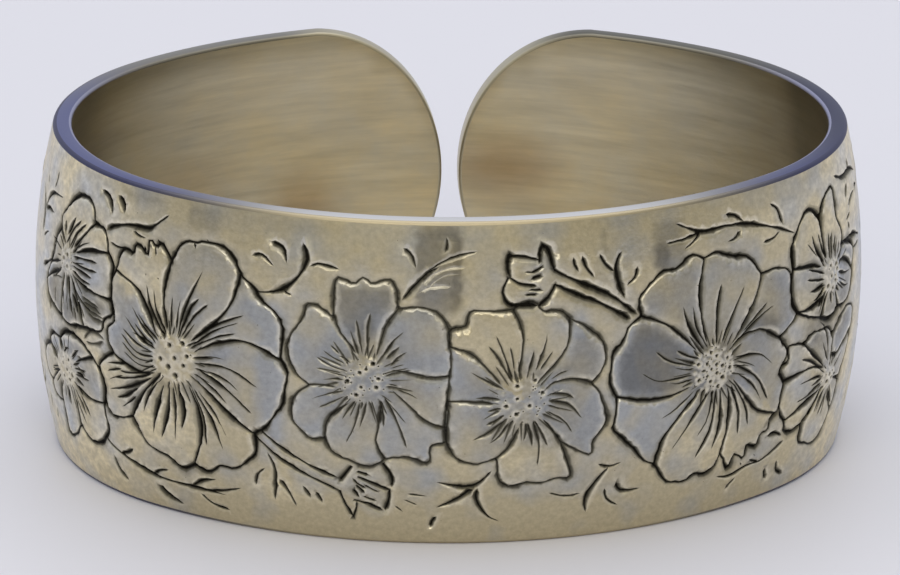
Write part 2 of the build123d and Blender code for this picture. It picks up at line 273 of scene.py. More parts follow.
# %% Two middle-sized flowers
TULIP = dict(middle=1.8, petals=(
    (5, 6.2, 27, -9, (6.5, 6.8, 7.4, 7.5, 7.0)),
    (67, 6.1, 66, 4, (7.3, 8.0, 7.75, 7.5, 7.9, 7.45, 7.75, 8.0, 6.7)),
    (116, 5.3, 105, 5, (7.0, 6.4, 6.3, 6.2, 5.7, 5.0)),
    (190, 4.1, 200, -3, (5.4, 6.1, 6.5, 6.45, 6.5)),
    (240, 5.8, 241, -9, (6.4, 6.6, 6.7, 7.1, 7.0)),
    (283, 6.55, 306, -12, (6.6, 7.0, 8.1, 7.1, 7.7)),
    (328, 7.1, 343, -9, (6.6, 6.2, 6.1))), veins=(
    (0.26, 0.3, 2.2, 0.2, 4.05, 0.4, 5.4), (0.2, -0.15, 2.35, -0.45, 3.7, -0.65, 4.85),
    (0.2, -0.45, 2.25, -0.8, 3.1, -1.1, 4.0), (0.1, -2.1, 2.3, -2.35, 2.5, -2.55, 2.7),
    (0.18, -1.55, 1.4, -2.4, 1.7, -3.1, 2.25), (0.18, -1.4, 0.75, -2.6, 1.05, -3.6, 1.65),
    (0.1, -1.55, 0.35, -2.4, 0.45, -3.2, 0.7), (0.12, -1.6, 0.0, -2.1, -0.05, -2.5, -0.05),
    (0.14, -1.05, 1.55, -1.5, 1.7, -1.9, 1.85), (0.12, -1.95, -1.1, -3.2, -1.5, -4.05, -1.9),
    (0.18, -1.55, -1.55, -2.6, -2.05, -3.4, -2.5), (0.2, -0.65, -1.85, -1.25, -2.65, -1.65, -3.35),
    (0.22, -0.35, -2.05, -0.65, -3.55, -1.35, -5.25), (0.16, 0.25, -1.85, -0.05, -2.85, -0.35, -4.0),
    (0.2, 1.35, -1.85, 1.4, -2.65, 1.45, -3.75), (0.3, 1.75, -1.45, 2.4, -3.15, 3.15, -5.4),
    (0.12, 2.05, -1.8, 2.5, -2.55, 3.1, -3.35), (0.16, 2.8, -0.7, 3.35, -0.95, 4.0, -1.35),
    (0.14, 1.95, -0.15, 2.25, -0.25, 2.6, -0.35), (0.22, 1.6, 2.35, 2.15, 3.3, 2.9, 4.05),
    (0.22, 1.8, 2.05, 2.2, 2.45, 2.6, 2.9), (0.2, 2.2, 1.45, 2.55, 2.05, 3.15, 2.45),
    (0.14, 2.2, 1.25, 2.6, 1.35, 3.0, 1.45)), pits=(
    (0.65, 1.4), (-0.3, 0.65), (1.05, 0.25), (0.9, -0.45), (-0.2, -0.5), (-0.55, -1.15),
    (-1.2, -0.1), (0.15, 0.95)), pit_width=0.44, middle_film=0.45, bead_rows=3,
    bead_shine=0.2)
OPEN = dict(middle=1.8, petals=(
    (11, 5.2, 32, 3, (6.3, 7.0, 7.3, 7.25, 7.2)),
    (60.5, 7.1, 53, -6, (7.35, 7.3, 7.1, 7.8, 7.6)),
    (96, 7.2, 99, -7, (7.3, 7.6, 8.1, 7.3, 7.8)),
    (140.5, 7.0, 140, -6, (6.1, 5.8, 5.5)),
    (179, 5.5, 184, -2, (5.7, 6.1, 6.5, 6.6, 6.0)),
    (248.4, 5.0, 263, 2, (6.8, 7.1, 6.85, 7.1, 7.1, 7.6)),
    (309, 4.65, 314, 0, (7.1, 6.55, 6.6, 6.8, 6.4, 6.0, 5.7))), veins=(
    (0.24, -1.05, 1.95, -1.75, 3.3, -2.6, 4.55), (0.2, -0.9, 2.05, -1.55, 4.05, -2.05, 5.35),
    (0.22, -0.8, 2.9, -0.85, 3.7, -1.0, 4.45), (0.2, 0.4, 2.6, 0.65, 3.4, 0.75, 4.1),
    (0.2, 1.0, 2.7, 1.5, 4.05, 1.75, 5.4), (0.26, 1.4, 2.8, 1.85, 3.4, 2.2, 3.95),
    (0.14, 2.3, 1.9, 2.8, 2.1, 3.4, 2.25), (0.22, 2.2, 0.6, 3.15, 0.35, 3.85, -0.1),
    (0.24, 2.1, -0.1, 3.35, -0.5, 4.5, -1.8), (0.18, 2.0, -0.4, 2.4, -0.65, 2.9, -0.95),
    (0.24, 2.0, -1.0, 3.05, -1.8, 3.75, -2.9), (0.16, 0.25, -2.0, 0.25, -2.65, 0.05, -3.35),
    (0.22, 0.4, -1.95, 0.65, -2.85, 0.75, -3.85), (0.26, 0.85, -1.8, 1.25, -3.55, 1.2, -5.45),
    (0.2, 1.0, -1.8, 1.5, -2.85, 1.95, -3.85), (0.24, -1.35, -1.6, -2.5, -2.5, -3.75, -3.1),
    (0.22, -1.15, -1.95, -1.75, -2.85, -2.5, -3.4), (0.22, -1.55, -1.25, -2.05, -1.55, -2.75, -1.85),
    (0.18, -1.85, -0.6, -2.2, -0.65, -2.65, -0.7), (0.18, -1.85, 1.25, -2.8, 1.8, -3.9, 2.5),
    (0.12, -2.0, 0.3, -2.8, 0.4, -3.5, 0.35)), pits=(
    (-0.45, 1.25), (-0.45, 0.25), (0.45, -0.35), (-0.5, -1.0), (0.85, 1.65), (1.4, 0.65),
    (-1.25, -0.3)), pit_width=0.44, middle_film=0.35, bead_rows=3, bead_shine=0.2)
describe("tulip-like", TULIP)
describe("open", OPEN)

# %% A large ruffled flower
RUFFLED = dict(middle=1.9, petals=(
    (8, 6.6, 41, 5, (8.8, 8.65, 9.25, 9.7, 9.1)),
    (53.5, 8.0, 44, -1, (8.4, 8.8, 8.6, 8.75, 9.0)),
    (94, 8.75, 106, 2, (9.3, 9.0, 8.9, 9.3, 9.25, 9.15, 9.0)),
    (139.5, 7.9, 132, -3, (8.4, 8.3, 8.7, 8.6, 8.5)),
    (187, 8.05, 211, 0, (8.3, 8.9, 8.55, 8.4, 8.6)),
    (237.5, 8.5, 236, -6, (8.9, 9.4, 9.4, 9.3, 8.7, 8.9, 8.6)),
    (280, 7.5, 309, -3, (9.3, 8.3, 9.2, 8.4, 9.2, 8.5, 8.9, 8.4)),
    (321, 8.6, 326, -8, (8.3, 8.0, 7.8, 7.0, 7.2, 7.45, 7.1))), veins=(
    (0.32, -1.05, 1.9, -2.2, 3.85, -2.7, 5.5), (0.2, -0.6, 1.95, -1.5, 3.55, -1.85, 5.4),
    (0.4, 0.25, 2.2, 0.35, 4.55, 0.8, 6.6), (0.3, 0.8, 2.2, 1.9, 4.25, 2.95, 6.0),
    (0.18, 2.6, 2.15, 4.75, 3.35, 6.2, 3.8), (0.22, 3.2, 2.75, 4.5, 3.65, 5.2, 4.2),
    (0.18, 2.2, 0.6, 4.35, 0.15, 5.9, -1.1), (0.3, 2.35, -0.1, 4.2, -1.7, 5.55, -3.95),
    (0.14, 2.4, 0.2, 3.4, -0.4, 4.1, -0.85), (0.24, 2.05, -2.0, 2.6, -4.05, 2.75, -6.2),
    (0.24, 2.25, -1.85, 3.3, -3.95, 3.7, -5.65), (0.28, 0.4, -2.0, 0.05, -5.0, -1.15, -7.35),
    (0.3, 0.8, -2.0, 0.95, -4.75, 0.3, -6.9), (0.18, 0.1, -2.0, -0.3, -4.05, -1.15, -5.5),
    (0.2, -0.25, -2.0, -1.9, -4.2, -3.35, -6.2), (0.1, -1.5, -1.45, -3.3, -2.8, -4.9, -3.5),
    (0.24, -2.05, 0.6, -3.85, 1.3, -5.05, 2.3), (0.24, -1.5, 1.2, -2.45, 1.5, -3.3, 2.1),
    (0.14, -2.05, -0.2, -4.55, -0.2, -6.15, 0.7), (0.14, -2.05, 0.25, -2.8, 0.45, -3.5, 0.75),
    (0.12, -2.05, -0.6, -3.0, -0.65, -3.9, -0.45), (0.14, 1.9, -2.2, 2.3, -3.2, 2.5, -4.6),
    (0.16, 2.5, -0.9, 3.9, -2.3, 4.9, -4.0)), pits=(
    (-0.25, 0.0), (0.2, 0.3), (0.25, -0.4), (-0.65, 0.5), (-0.6, -0.5), (0.75, 0.1), (0.2, 1.0),
    (-0.9, 0.0), (-0.3, -1.0), (0.8, -0.85), (-0.3, 1.35), (1.2, 0.65), (-1.4, 0.6), (-1.3, -0.7),
    (0.4, -1.5), (1.45, -0.2)), pit_width=0.44, middle_film=0.9, bead_rows=4, bead_shine=0.9)
describe("ruffled", RUFFLED)

# %% Two small flowers, one with a horn and one seen from its side
HORNED = dict(middle=1.3, petals=(
    (40, 2.8, 33, 0, (3.4, 3.75, 3.95, 4.2, 4.7, 6.7, 6.55, 6.2, 5.6)),
    (101.5, 4.9, 107, 2, (6.2, 6.4, 6.25, 6.05, 5.9, 5.4)),
    (159, 5.1, 139, 3, (5.05, 5.0, 4.9)),
    (202, 4.65, 228, 0, (4.0, 3.5)),
    (245, 3.3, 240, 0, (3.4, 3.3)),
    (292, 3.1, 296, 0, (3.8, 4.3, 4.3)),
    (350, 4.3, 386, 0, (4.8, 4.6, 3.6))), veins=(
    (0.28, -1.1, 1.5, -2.0, 2.75, -2.4, 4.0), (0.28, -0.65, 1.75, -1.3, 2.95, -1.55, 3.9),
    (0.14, -2.15, 2.35, -2.6, 2.9, -3.05, 3.45), (0.22, -0.1, 1.8, -0.1, 2.6, -0.05, 3.5),
    (0.22, 0.3, 1.8, 0.3, 2.65, 0.45, 3.45), (0.22, 0.7, 1.8, 0.8, 2.4, 1.05, 3.05),
    (0.22, 1.3, 1.5, 1.45, 1.9, 1.6, 2.4), (0.26, -1.1, 0.5, -2.0, 0.9, -2.9, 1.2),
    (0.24, -1.15, -0.05, -2.2, 0.25, -3.35, 0.6), (0.26, -1.2, -0.5, -2.2, -0.55, -3.05, -0.45),
    (0.22, -1.3, -1.0, -1.95, -1.25, -2.6, -1.3), (0.22, -1.25, -1.5, -1.6, -1.8, -2.0, -2.0),
    (0.16, 1.5, -0.2, 2.6, -0.6, 3.7, -0.7), (0.12, 1.5, -1.0, 2.4, -1.6, 3.4, -1.7)), pits=(
    (-0.05, 0.0), (-0.1, 0.85), (0.8, 0.75), (0.85, 0.3), (0.55, -0.5), (-0.6, -0.65), (0.1, -1.0)),
    pit_width=0.44, middle_film=0.3, bead_rows=2, bead_shine=0.8)
SIDEWAYS = dict(middle=0.9, petals=(
    (34, 5.0, 60, -6, (6.1, 5.9, 5.2, 4.2)),
    (85, 3.4, 85, 0, (4.3, 4.6, 5.2)),
    (134, 5.4, 126, 2, (6.9, 6.3, 6.8)),
    (167, 5.9, 128, 6, (6.1, 6.1)),
    (201.5, 5.7, 212, -3, (5.9, 5.4)),
    (225, 4.1, 224, 2, (5.4, 5.4, 5.5, 5.1, 4.2)),
    (292, 3.5, 286, 2, (2.9, 2.4)),
    (340, 2.3, 340, 0, (2.5, 3.4))), veins=(
    (0.22, -1.25, 0.55, -2.75, 0.6, -4.1, 0.6), (0.22, -1.15, 0.25, -1.9, 0.05, -2.6, 0.0),
    (0.26, -1.3, -0.2, -2.95, -0.75, -4.25, -0.85), (0.26, -1.3, 1.2, -2.85, 2.2, -4.1, 2.7),
    (0.2, -0.1, -1.5, -0.55, -2.4, -1.0, -3.05), (0.2, 0.0, -1.5, -0.2, -2.4, -0.45, -3.25),
    (0.2, 0.35, -1.25, 0.45, -1.5, 0.5, -1.85), (0.16, -0.35, 1.6, -0.95, 2.5, -1.4, 3.45),
    (0.18, -0.35, 2.0, -0.95, 4.2, -2.0, 5.3), (0.2, -1.0, -0.9, -1.7, -1.9, -2.4, -2.7),
    (0.16, -0.6, -1.1, -1.2, -2.0, -1.6, -2.7)), pits=(
    (0.0, 0.2), (0.4, -0.2), (-0.3, -0.3)), pit_width=0.44, middle_film=0.2, bead_rows=2,
    bead_shine=0.8)
describe("horned", HORNED)
describe("sideways", SIDEWAYS)

# %% Two more small flowers, one like a fan
FAN = dict(middle=1.1, petals=(
    (22, 5.35, 39, 0, (5.6, 5.6)),
    (51, 4.9, 60, -2, (5.65, 5.75, 5.5, 5.0, 4.3, 3.8, 3.5)),
    (126, 2.7, 128, 0, (2.5, 2.5, 2.6)),
    (200, 3.1, 200, 0, (4.4, 5.0, 4.8)),
    (262, 4.8, 255, 0, (5.1, 5.0)),
    (300, 5.3, 300, 0, (5.8, 6.3, 5.9, 6.3)),
    (344.5, 5.7, 319, 4, (5.7, 5.5, 5.7))), veins=(
    (0.26, -0.35, 2.25, 0.2, 2.95, 0.7, 3.7), (0.28, -0.5, 1.4, 0.5, 2.65, 1.5, 3.65),
    (0.28, 0.2, 1.2, 0.9, 2.35, 2.2, 3.55), (0.22, -0.9, 2.3, -0.85, 2.6, -0.7, 3.0),
    (0.18, 1.1, 1.4, 2.05, 1.9, 3.0, 2.35), (0.28, 1.2, 1.1, 2.9, 1.6, 4.9, 2.0),
    (0.24, 0.9, 0.65, 2.35, 0.8, 4.0, 0.95), (0.24, 0.8, 0.2, 2.35, 0.1, 4.05, 0.25),
    (0.24, 0.9, -0.15, 2.15, -0.3, 3.5, -0.4), (0.22, 1.0, -0.6, 2.15, -0.9, 3.4, -0.9),
    (0.2, 1.1, -2.65, 1.5, -3.2, 1.85, -3.8), (0.2, 0.7, -3.2, 0.85, -3.6, 1.1, -4.0),
    (0.3, -1.2, -1.3, -2.5, -1.85, -4.0, -2.9), (0.2, 0.6, -1.1, 1.8, -2.2, 3.4, -3.2),
    (0.2, 0.2, -1.3, 0.5, -2.2, 0.7, -3.0), (0.18, -0.4, -1.3, -0.5, -2.4, -0.3, -3.6)), pits=(
    (0.1, 0.5), (-0.4, 0.1), (0.2, -0.4)), pit_width=0.44, middle_film=0.6, bead_rows=2,
    bead_shine=0.6)
SMALL = dict(middle=1.4, petals=(
    (30, 4.3, 35, 0, (3.9, 3.5, 3.2, 2.9)),
    (112, 2.4, 112, 0, (2.8, 3.3)),
    (160, 3.2, 175, -4, (4.2, 4.6, 4.6)),
    (215, 3.9, 207, 0, (4.2, 3.9)),
    (247, 3.5, 232, 0, (4.2, 5.9, 5.8, 5.4, 4.9)),
    (287, 4.5, 299, 0, (5.8, 6.25, 6.2, 6.1, 5.35)),
    (344.5, 4.95, 329, -2, (5.0, 4.9, 4.7))), veins=(
    (0.2, 1.9, 0.6, 2.45, 0.6, 2.95, 0.55), (0.24, 1.8, 0.3, 2.4, 0.15, 2.9, -0.1),
    (0.24, 1.7, -0.2, 2.2, -0.45, 2.65, -0.75), (0.18, 1.1, 1.45, 1.6, 1.85, 2.15, 2.2),
    (0.22, 1.35, -1.45, 1.95, -2.15, 2.5, -3.2), (0.2, 2.3, -1.8, 2.7, -2.5, 3.05, -3.1),
    (0.14, 1.1, -1.75, 1.65, -2.7, 2.4, -4.05), (0.3, 0.15, -1.8, 0.2, -2.4, 0.25, -3.1),
    (0.22, -0.45, -1.8, -0.45, -2.2, -0.45, -2.7), (0.2, -0.25, 1.5, 0.2, 1.75, 0.75, 1.85),
    (0.16, -1.5, 0.7, -2.2, 0.9, -2.9, 0.8), (0.16, -1.6, -0.6, -2.2, -0.9, -2.9, -1.0)), pits=(
    (-0.3, 0.35), (-0.2, -0.7), (0.6, -0.75), (0.6, 0.9), (1.05, -0.25), (0.3, 0.0)),
    pit_width=0.44, middle_film=0.3, bead_rows=2, bead_shine=0.6)
describe("fan", FAN)
describe("small", SMALL)

# %% [markdown]
# A flower is then engraved where it belongs: the folds and rims of its petals, its veins, short
# pleats round its middle, and fine rings of beads and pits on the middle itself. The places of the
# flowers round the whole band are one short table: eight on the front, and six more of the same
# kinds that carry the pattern round the sides and the back to the rounded ends.

# %% The lines of the petals
ring_gap = 0.3              # the folds start this far outside the middle


def fold_angle(petal, t):
    """Direction in degrees of a petal's fold, at t from 0 at its foot to 1 at the petal's rim."""
    deg, _, foot, bow, _ = petal
    return foot + (deg - foot) * t + 4 * bow * t * (1 - t)


def petal_lines(kind):
    """The fold and the rim of every petal, as points from the flower's middle."""
    foot_r = kind["middle"] + ring_gap
    petals = kind["petals"]
    for index, petal in enumerate(petals):
        deg, reach, _, _, rim = petal
        fold = []
        for t in (0, 1 / 3, 2 / 3, 1):
            angle = radians(fold_angle(petal, t))
            r = foot_r + (reach - foot_r) * t
            fold.append((r * cos(angle), r * sin(angle)))
        after = petals[(index + 1) % len(petals)]
        next_deg = after[0] + (360 if index + 1 == len(petals) else 0)
        edge = [(reach, deg)]
        edge += [(r, deg + (next_deg - deg) * (i + 1) / (len(rim) + 1)) for i, r in enumerate(rim)]
        edge.append((after[1], next_deg))
        yield fold, [(r * cos(radians(a)), r * sin(radians(a))) for r, a in edge]


for x, y in next(petal_lines(LARGE))[0]:
    print("first fold of the large flower passes", round(x, 2), round(y, 2))

# %% Engrave one flower
outline_width = 0.45
outline_lean, vein_lean = 0.55, 0.55
outline_dip = 1.0           # the metal falls softly towards an outline from this far away
vein_weight = 1.6
vein_foot = 0.84            # a vein starts this much nearer to the middle than it is charted
pleat_spacing = 0.42
pleat_width, pleat_reach = (0.18, 0.34), (0.6, 2.2)     # both are drawn from a range
bead_spacing = 0.44
bead_radius, bead_height = 0.24, 0.04
throw_radius = 0.42         # of the metal that a punch throws up beside its pit
middle_height = 0.06
bumps = []                  # u, v, radius, height and painted highlight of everything raised


def engrave_flower(kind, u, v, turn, mirrored, ink, shared):
    """Cut one flower of this kind with its middle at u and v. The rims of the petals listed in
    shared are left to the neighbour's outline."""
    flip, angle = (-1 if mirrored else 1), radians(turn)

    def placed(points):
        return [(u + flip * (x * cos(angle) - y * sin(angle)), v + x * sin(angle) + y * cos(angle))
                for x, y in points]

    for index, (fold, rim) in enumerate(petal_lines(kind)):
        cut(placed(fold), outline_width, start=0.25, end=0, ragged=0.12, dip=outline_dip, ink=ink,
            lean=outline_lean)
        if index not in shared:
            cut(placed(rim), outline_width, start=0, end=0, ragged=0.18, dip=outline_dip, ink=ink,
                lean=outline_lean)
    for width, *places in kind["veins"]:
        points = np.array(pairs(places))
        points[0] *= vein_foot
        cut(placed(points), vein_weight * width, start=0.35, end=0.6, ragged=0.08, ink=ink,
            lean=vein_lean)
    engrave_middle(kind, u, v, placed, ink)


def engrave_middle(kind, u, v, placed, ink):
    """The pleats, pits and beads of a flower's middle."""
    middle, shine = kind["middle"], kind["bead_shine"]
    pleats = round(2 * pi * middle / pleat_spacing)
    for i in range(pleats):
        angle = 2 * pi * (i + hand.uniform(-0.3, 0.3)) / pleats
        near, far = middle * hand.uniform(0.84, 1.0), middle + hand.uniform(*pleat_reach)
        askew = angle + hand.uniform(-0.12, 0.12)
        cut(placed([(near * cos(angle), near * sin(angle)), (far * cos(askew), far * sin(askew))]),
            hand.uniform(*pleat_width), start=0.15, end=0.7, ink=0.8 * ink, lean=vein_lean)
    for pit_u, pit_v in placed(kind["pits"]):
        punch(pit_u, pit_v, kind["pit_width"] * hand.uniform(0.85, 1.2))
        bumps.append((pit_u + 0.1, pit_v + 0.12, throw_radius, bead_height, 0.5 * shine))
    for row in range(kind["bead_rows"]):
        r = middle * 0.92 - row * bead_spacing
        beads = round(2 * pi * r / bead_spacing) if r > 0 else 0
        for i in range(beads):
            angle = 2 * pi * i / beads + hand.uniform(-0.15, 0.15)
            out = r * hand.uniform(0.9, 1.1)
            bead_u, bead_v = placed([(out * cos(angle), out * sin(angle))])[0]
            bumps.append((bead_u, bead_v, bead_radius, bead_height, shine))
            if hand.uniform() < 0.5:
                punch(bead_u - 0.22, bead_v - 0.05, 0.2, 0.9)
    bumps.append((u, v, 1.1 * middle, middle_height, 0.0))


print("an outline is", outline_width, "mm wide, a vein", vein_weight, "times its charted width")

# %% Engrave the flowers
# kind, u, v, turn, mirrored, ink, petals whose rims are shared, then for each petal its painted
# dark reflection and its painted cool reflection
FLOWERS = (
    (FAN, -34.9, 5.0, 0, False, 1.1, (), (0.1, 0.1, 0.4, 0.6, 0.6, 0.5, 0.1),
     (0.2, 0.1, 0.4, 0.6, 0.6, 0.6, 0.5)),
    (SMALL, -35.1, -3.9, 0, False, 1.1, (), (0.5, 0.3, 0.2, 0.1, 0, 0.1, 0.4),
     (0.3, 0.3, 0.2, 0.2, 0.2, 0.1, 0.4)),
    (LARGE, -23.3, 0.3, 0, False, 1.0, (), (0.2, 0.15, 0.05, 0.4, 0.1, 0, 0, 0.2),
     (0.7, 0.3, -0.1, 0.6, 0, -0.1, -0.1, 0.45)),
    (TULIP, -8.4, 0.7, 0, False, 0.74, (), (0.3, 0.8, 0.2, 0.15, 0.1, 0.1, 0.3),
     (0.7, 0.4, 0.7, 0.8, 0.5, 0.8, 0.6)),
    (OPEN, 3.1, -0.9, 0, False, 0.76, (3,), (0.6, 0.05, 0.1, 0.3, 0.15, 0.1, 0.3),
     (0.6, 0.1, -0.5, 0.8, 0.4, 0.1, 0.7)),
    (RUFFLED, 18.2, -0.3, 0, False, 0.95, (), (0.5, 0.2, 0.45, 1.0, 0.05, 0.05, 0.05, 0.35),
     (0.5, 0.2, 0.3, 0.7, 0.8, 0.1, 0, 0.6)),
    (HORNED, 31.1, 3.8, 0, False, 1.25, (), (0, 0.05, 0.1, 0.15, 0.4, 0.7, 0.6),
     (0, 0, 0, 0.3, 0.5, 0.6, 0.6)),
    (SIDEWAYS, 31.3, -4.6, 0, False, 1.0, (), (0.7, 0.6, 0.15, 0.05, 0, 0, 0, 0.1),
     (0.5, 0.5, 0.2, 0.1, 0, 0, 0, 0.2)),
    (RUFFLED, 47.6, 0.4, 15, True, 1, (), (0.3, 0, 0.4, 0.1, 0, 0.3, 0, 0.5),
     (0.5, 0, 0.6, 0.3, 0, 0.4, 0, 0.7)),
    (OPEN, 63.6, 0.6, 0, True, 1, (), (0.4, 0, 0.1, 0.5, 0, 0.2, 0), (0.6, 0, 0, 0.8, 0.2, 0.5, 0)),
    (SMALL, 76.0, 0.2, 60, False, 1, (), (0.3, 0, 0.4, 0, 0.2, 0, 0.3),
     (0.5, 0, 0.6, 0, 0.3, 0, 0.5)),
    (LARGE, -51.6, 0.2, -20, True, 1, (), (0.3, 0, 0.4, 0, 0.3, 0, 0.1, 0.4),
     (0.6, 0, 0.6, 0.2, 0.5, 0, 0, 0.7)),
    (TULIP, -67.8, 0.2, 0, True, 1, (), (0.2, 0.5, 0.1, 0, 0.4, 0, 0.2),
     (0.3, 0.7, 0, 0.2, 0.6, 0, 0.4)),
    (SMALL, -80.4, 0.4, 150, False, 1, (), (0.3, 0.1, 0, 0.4, 0, 0.2, 0),
     (0.4, 0, 0, 0.6, 0, 0.3, 0)))
for kind, u, v, turn, mirrored, ink, shared, _, _ in FLOWERS:
    engrave_flower(kind, u, v, turn, mirrored, ink, shared)
print(len(FLOWERS), "flowers,", len(cuts), "cuts and", len(bumps), "bumps")

# %% [markdown]
# ## Buds, sprigs and comma strokes
#
# Between the flowers the engraver filled the ground with two buds on double stems, leafy sprigs
# and short comma strokes that start thick and flick away. They are charted as points along the
# strip, grouped by the flower they grow beside, so that the same sprigs can fill the ground beside
# that kind of flower on the unseen side.

# %% Strokes beside the flowers on the left
# width, then u and v of each point of the stroke
BESIDE_FAN = (
    (0.3, -31.5, 11.6, -30.4, 11.2, -29.8, 10.05), (0.3, -29.6, 11.65, -28.9, 11.2, -28.6, 10.4),
    (0.26, -40.4, 5.5, -40.6, 7.5, -42, 9), (0.22, -40.3, 7.5, -39.3, 8.9, -36.7, 9.4),
    (0.2, -40.3, 7.4, -39.2, 7.7, -38, 7.7), (0.24, -38.8, 9.5, -38.5, 10.2, -38.4, 11),
    (0.24, -41, 10, -40.4, 9.2), (0.2, -40.1, 5.2, -39.3, 5.8, -38.7, 5.95),
    (0.22, -39.7, 3, -37.6, 4.3, -37, 6), (0.2, -38.6, -9.5, -38.2, -8.3))
BESIDE_LARGE = (
    (0.34, -30.3, 8.7, -29.8, 9.15, -28, 9.7, -26.2, 9.85, -25.4, 10.4, -24.3, 11.3),
    (0.24, -29.8, 8.0, -28.9, 7.8, -28, 7.9), (0.16, -27.6, 9.4, -26.9, 9.15, -26.2, 9.1),
    (0.24, -30.6, -8.1, -28.9, -9.0, -26.1, -9.9, -24.3, -10.15, -22, -10.2, -19.2, -10.3),
    (0.2, -28.9, -9, -28.1, -8.7, -27.5, -8.2), (0.2, -25.8, -9.9, -25.0, -9.4, -24.2, -9.2),
    (0.2, -22.3, -10.1, -21.2, -9.4, -20, -9.1), (0.16, -21.5, -10.3, -19.7, -10.0, -17.9, -9.4),
    (0.2, -21.6, -10.6, -20.6, -11.3, -19.1, -11.6), (0.34, -29.8, -9.4, -29.3, -10.6, -28.4, -11.3),
    (0.34, -25.5, -10.8, -24.6, -11.5, -23.2, -12), (0.22, -17.2, 9.4, -16.4, 9.6, -15.3, 8.8),
    (0.26, -15.8, 10.7, -14.7, 10.2, -14.4, 9.1),
    (0.32, -13.25, 10.9, -12.9, 9.6, -13.5, 8.25, -14.8, 7.1, -16.7, 6.7),
    (0.16, -14.6, 7.1, -13.8, 6.8), (0.16, -12.7, 9.15, -11.9, 9.4, -10.3, 9.1))
BESIDE_TULIP = (
    (0.24, -15.75, -5.9, -15.2, -7.4, -15.3, -10.1), (0.24, -14.9, -8.1, -14.2, -9.1, -13.6, -10.4),
    (0.24, -15.9, -7.3, -16.6, -8, -16.8, -9), (0.22, -13.1, -8.4, -12.8, -8.9, -12.5, -9.5),
    (0.22, -12.1, -8.8, -11.6, -9.8), (0.18, -6.25, -9.5, -5.5, -10.15),
    (0.16, -5.6, -9, -4.4, -9.5), (0.16, -5.3, -8.5, -3.7, -8.7),
    (0.24, -5.8, 11, -5.1, 10.4, -4.75, 9.4), (0.2, -2.6, 11.9, -2.5, 11.2, -2.7, 10.6),
    (0.26, -5.8, 7, -4.9, 8.1, -3.95, 9.1, -3.0, 9.7),
    (0.16, -4.1, 9.2, -2.3, 10.25, -0.2, 10.8))
# the sprig between the two middle flowers has bright-cut strokes, drawn as painted highlights
BRIGHT_SPRIG = (
    (0.26, -4.3, 8.3, -3.4, 9.1, -2.2, 9.55, -1.0, 9.6), (0.2, -3.9, 8.1, -2.6, 9.0, -1.4, 9.1),
    (0.26, -4.6, 7.6, -3.7, 8.1, -2.1, 8.2))
print(sum(map(len, (BESIDE_FAN, BESIDE_LARGE, BESIDE_TULIP, BRIGHT_SPRIG))), "strokes on the left")

# %% Strokes beside the flowers on the right
BESIDE_OPEN = (
    (0.3, 0.97, -6.5, 0, -7.6, -1.1, -7.9, -3.2, -7.45), (0.26, -0.4, -8.1, -1.7, -9, -3.2, -9.7),
    (0.24, -0.1, -8, -0.1, -9.1, 0.7, -10.4, 1.7, -11), (0.24, -3, -10.4, -3.4, -10.9, -3.5, -11.5),
    (0.2, 8.9, -6.6, 9.8, -6.96, 10.9, -6.7), (0.28, 9.8, -7, 8.8, -8.3, 8.2, -9.5, 8.3, -10.8),
    (0.28, 9.6, -8.8, 9.9, -9.8, 10.9, -10.5), (0.28, 10.5, -8.4, 11, -9.2, 12.6, -9.25),
    (0.18, 5.2, -8.7, 6.6, -9.1, 7.8, -9))
BESIDE_RUFFLED = (
    (0.28, 15.2, 11.5, 17.5, 10.5, 19.8, 10.5, 21.6, 10.3, 23.4, 9.8, 25.1, 9.2, 26.8, 8.4),
    (0.26, 14.3, 10.1, 15.9, 10.2, 17.5, 10.5), (0.22, 17.5, 10.5, 16.6, 9.8, 15.8, 9.4),
    (0.24, 19.8, 11.4, 20.8, 11.1, 21.5, 10.5), (0.22, 21.2, 9.9, 20.5, 9.4, 19.7, 9.3),
    (0.26, 24.3, 11.3, 25.1, 10.7, 25.5, 9.4), (0.22, 25.1, 9, 24.3, 8.6, 23.2, 8.5),
    (0.24, 24.1, -7.45, 25, -7.4, 25.9, -7.9),
    (0.2, 26.2, -8.35, 24, -9.4, 22.3, -9.5, 20.7, -9.95, 19.3, -9.7),
    (0.18, 22.5, -9, 23.6, -9.5), (0.22, 21.4, -10.2, 20.4, -11.1),
    (0.34, 24.5, -10.2, 24.6, -10.8, 24.9, -11.4), (0.34, 25.7, -9.9, 26, -10.9, 26.9, -11.5))
BESIDE_HORNED = (
    (0.32, 33.15, 11.1, 34.6, 10.5, 35.7, 10.4, 37.5, 10.3, 39.3, 9.6),
    (0.22, 36.9, 11.3, 36.7, 10.9, 36.5, 10.5), (0.26, 35.7, 9.8, 34.9, 8.7),
    (0.32, 35.4, 8, 36.5, 8.4, 37.8, 8.5), (0.22, 37.8, 8.8, 39.3, 8.5),
    (0.26, 34.6, 7.1, 35.7, 7.4), (0.26, 34.9, 6.9, 35.3, 6.2),
    (0.32, 34.7, 5.6, 36.1, 5.5, 38.2, 4.8), (0.24, 36, 4.4, 37.8, 4.4),
    (0.24, 31.6, -2.7, 32.5, -3.1, 35, -2))
BESIDE_RIGHT_BUD = (
    (0.34, 6.9, 10.05, 7.0, 9.4, 7.3, 8.8), (0.34, 7.55, 10.1, 7.9, 9.1, 8.5, 8.25),
    (0.36, 8.9, 10.1, 9.3, 9.3, 10, 8.6), (0.36, 10.75, 10.1, 10.3, 9.3, 10.3, 8.1, 10.8, 6.4),
    (0.28, 11.9, 8.8, 11.7, 8, 10.9, 7.4))
print(sum(map(len, (BESIDE_OPEN, BESIDE_RUFFLED, BESIDE_HORNED, BESIDE_RIGHT_BUD))),
      "strokes on the right")

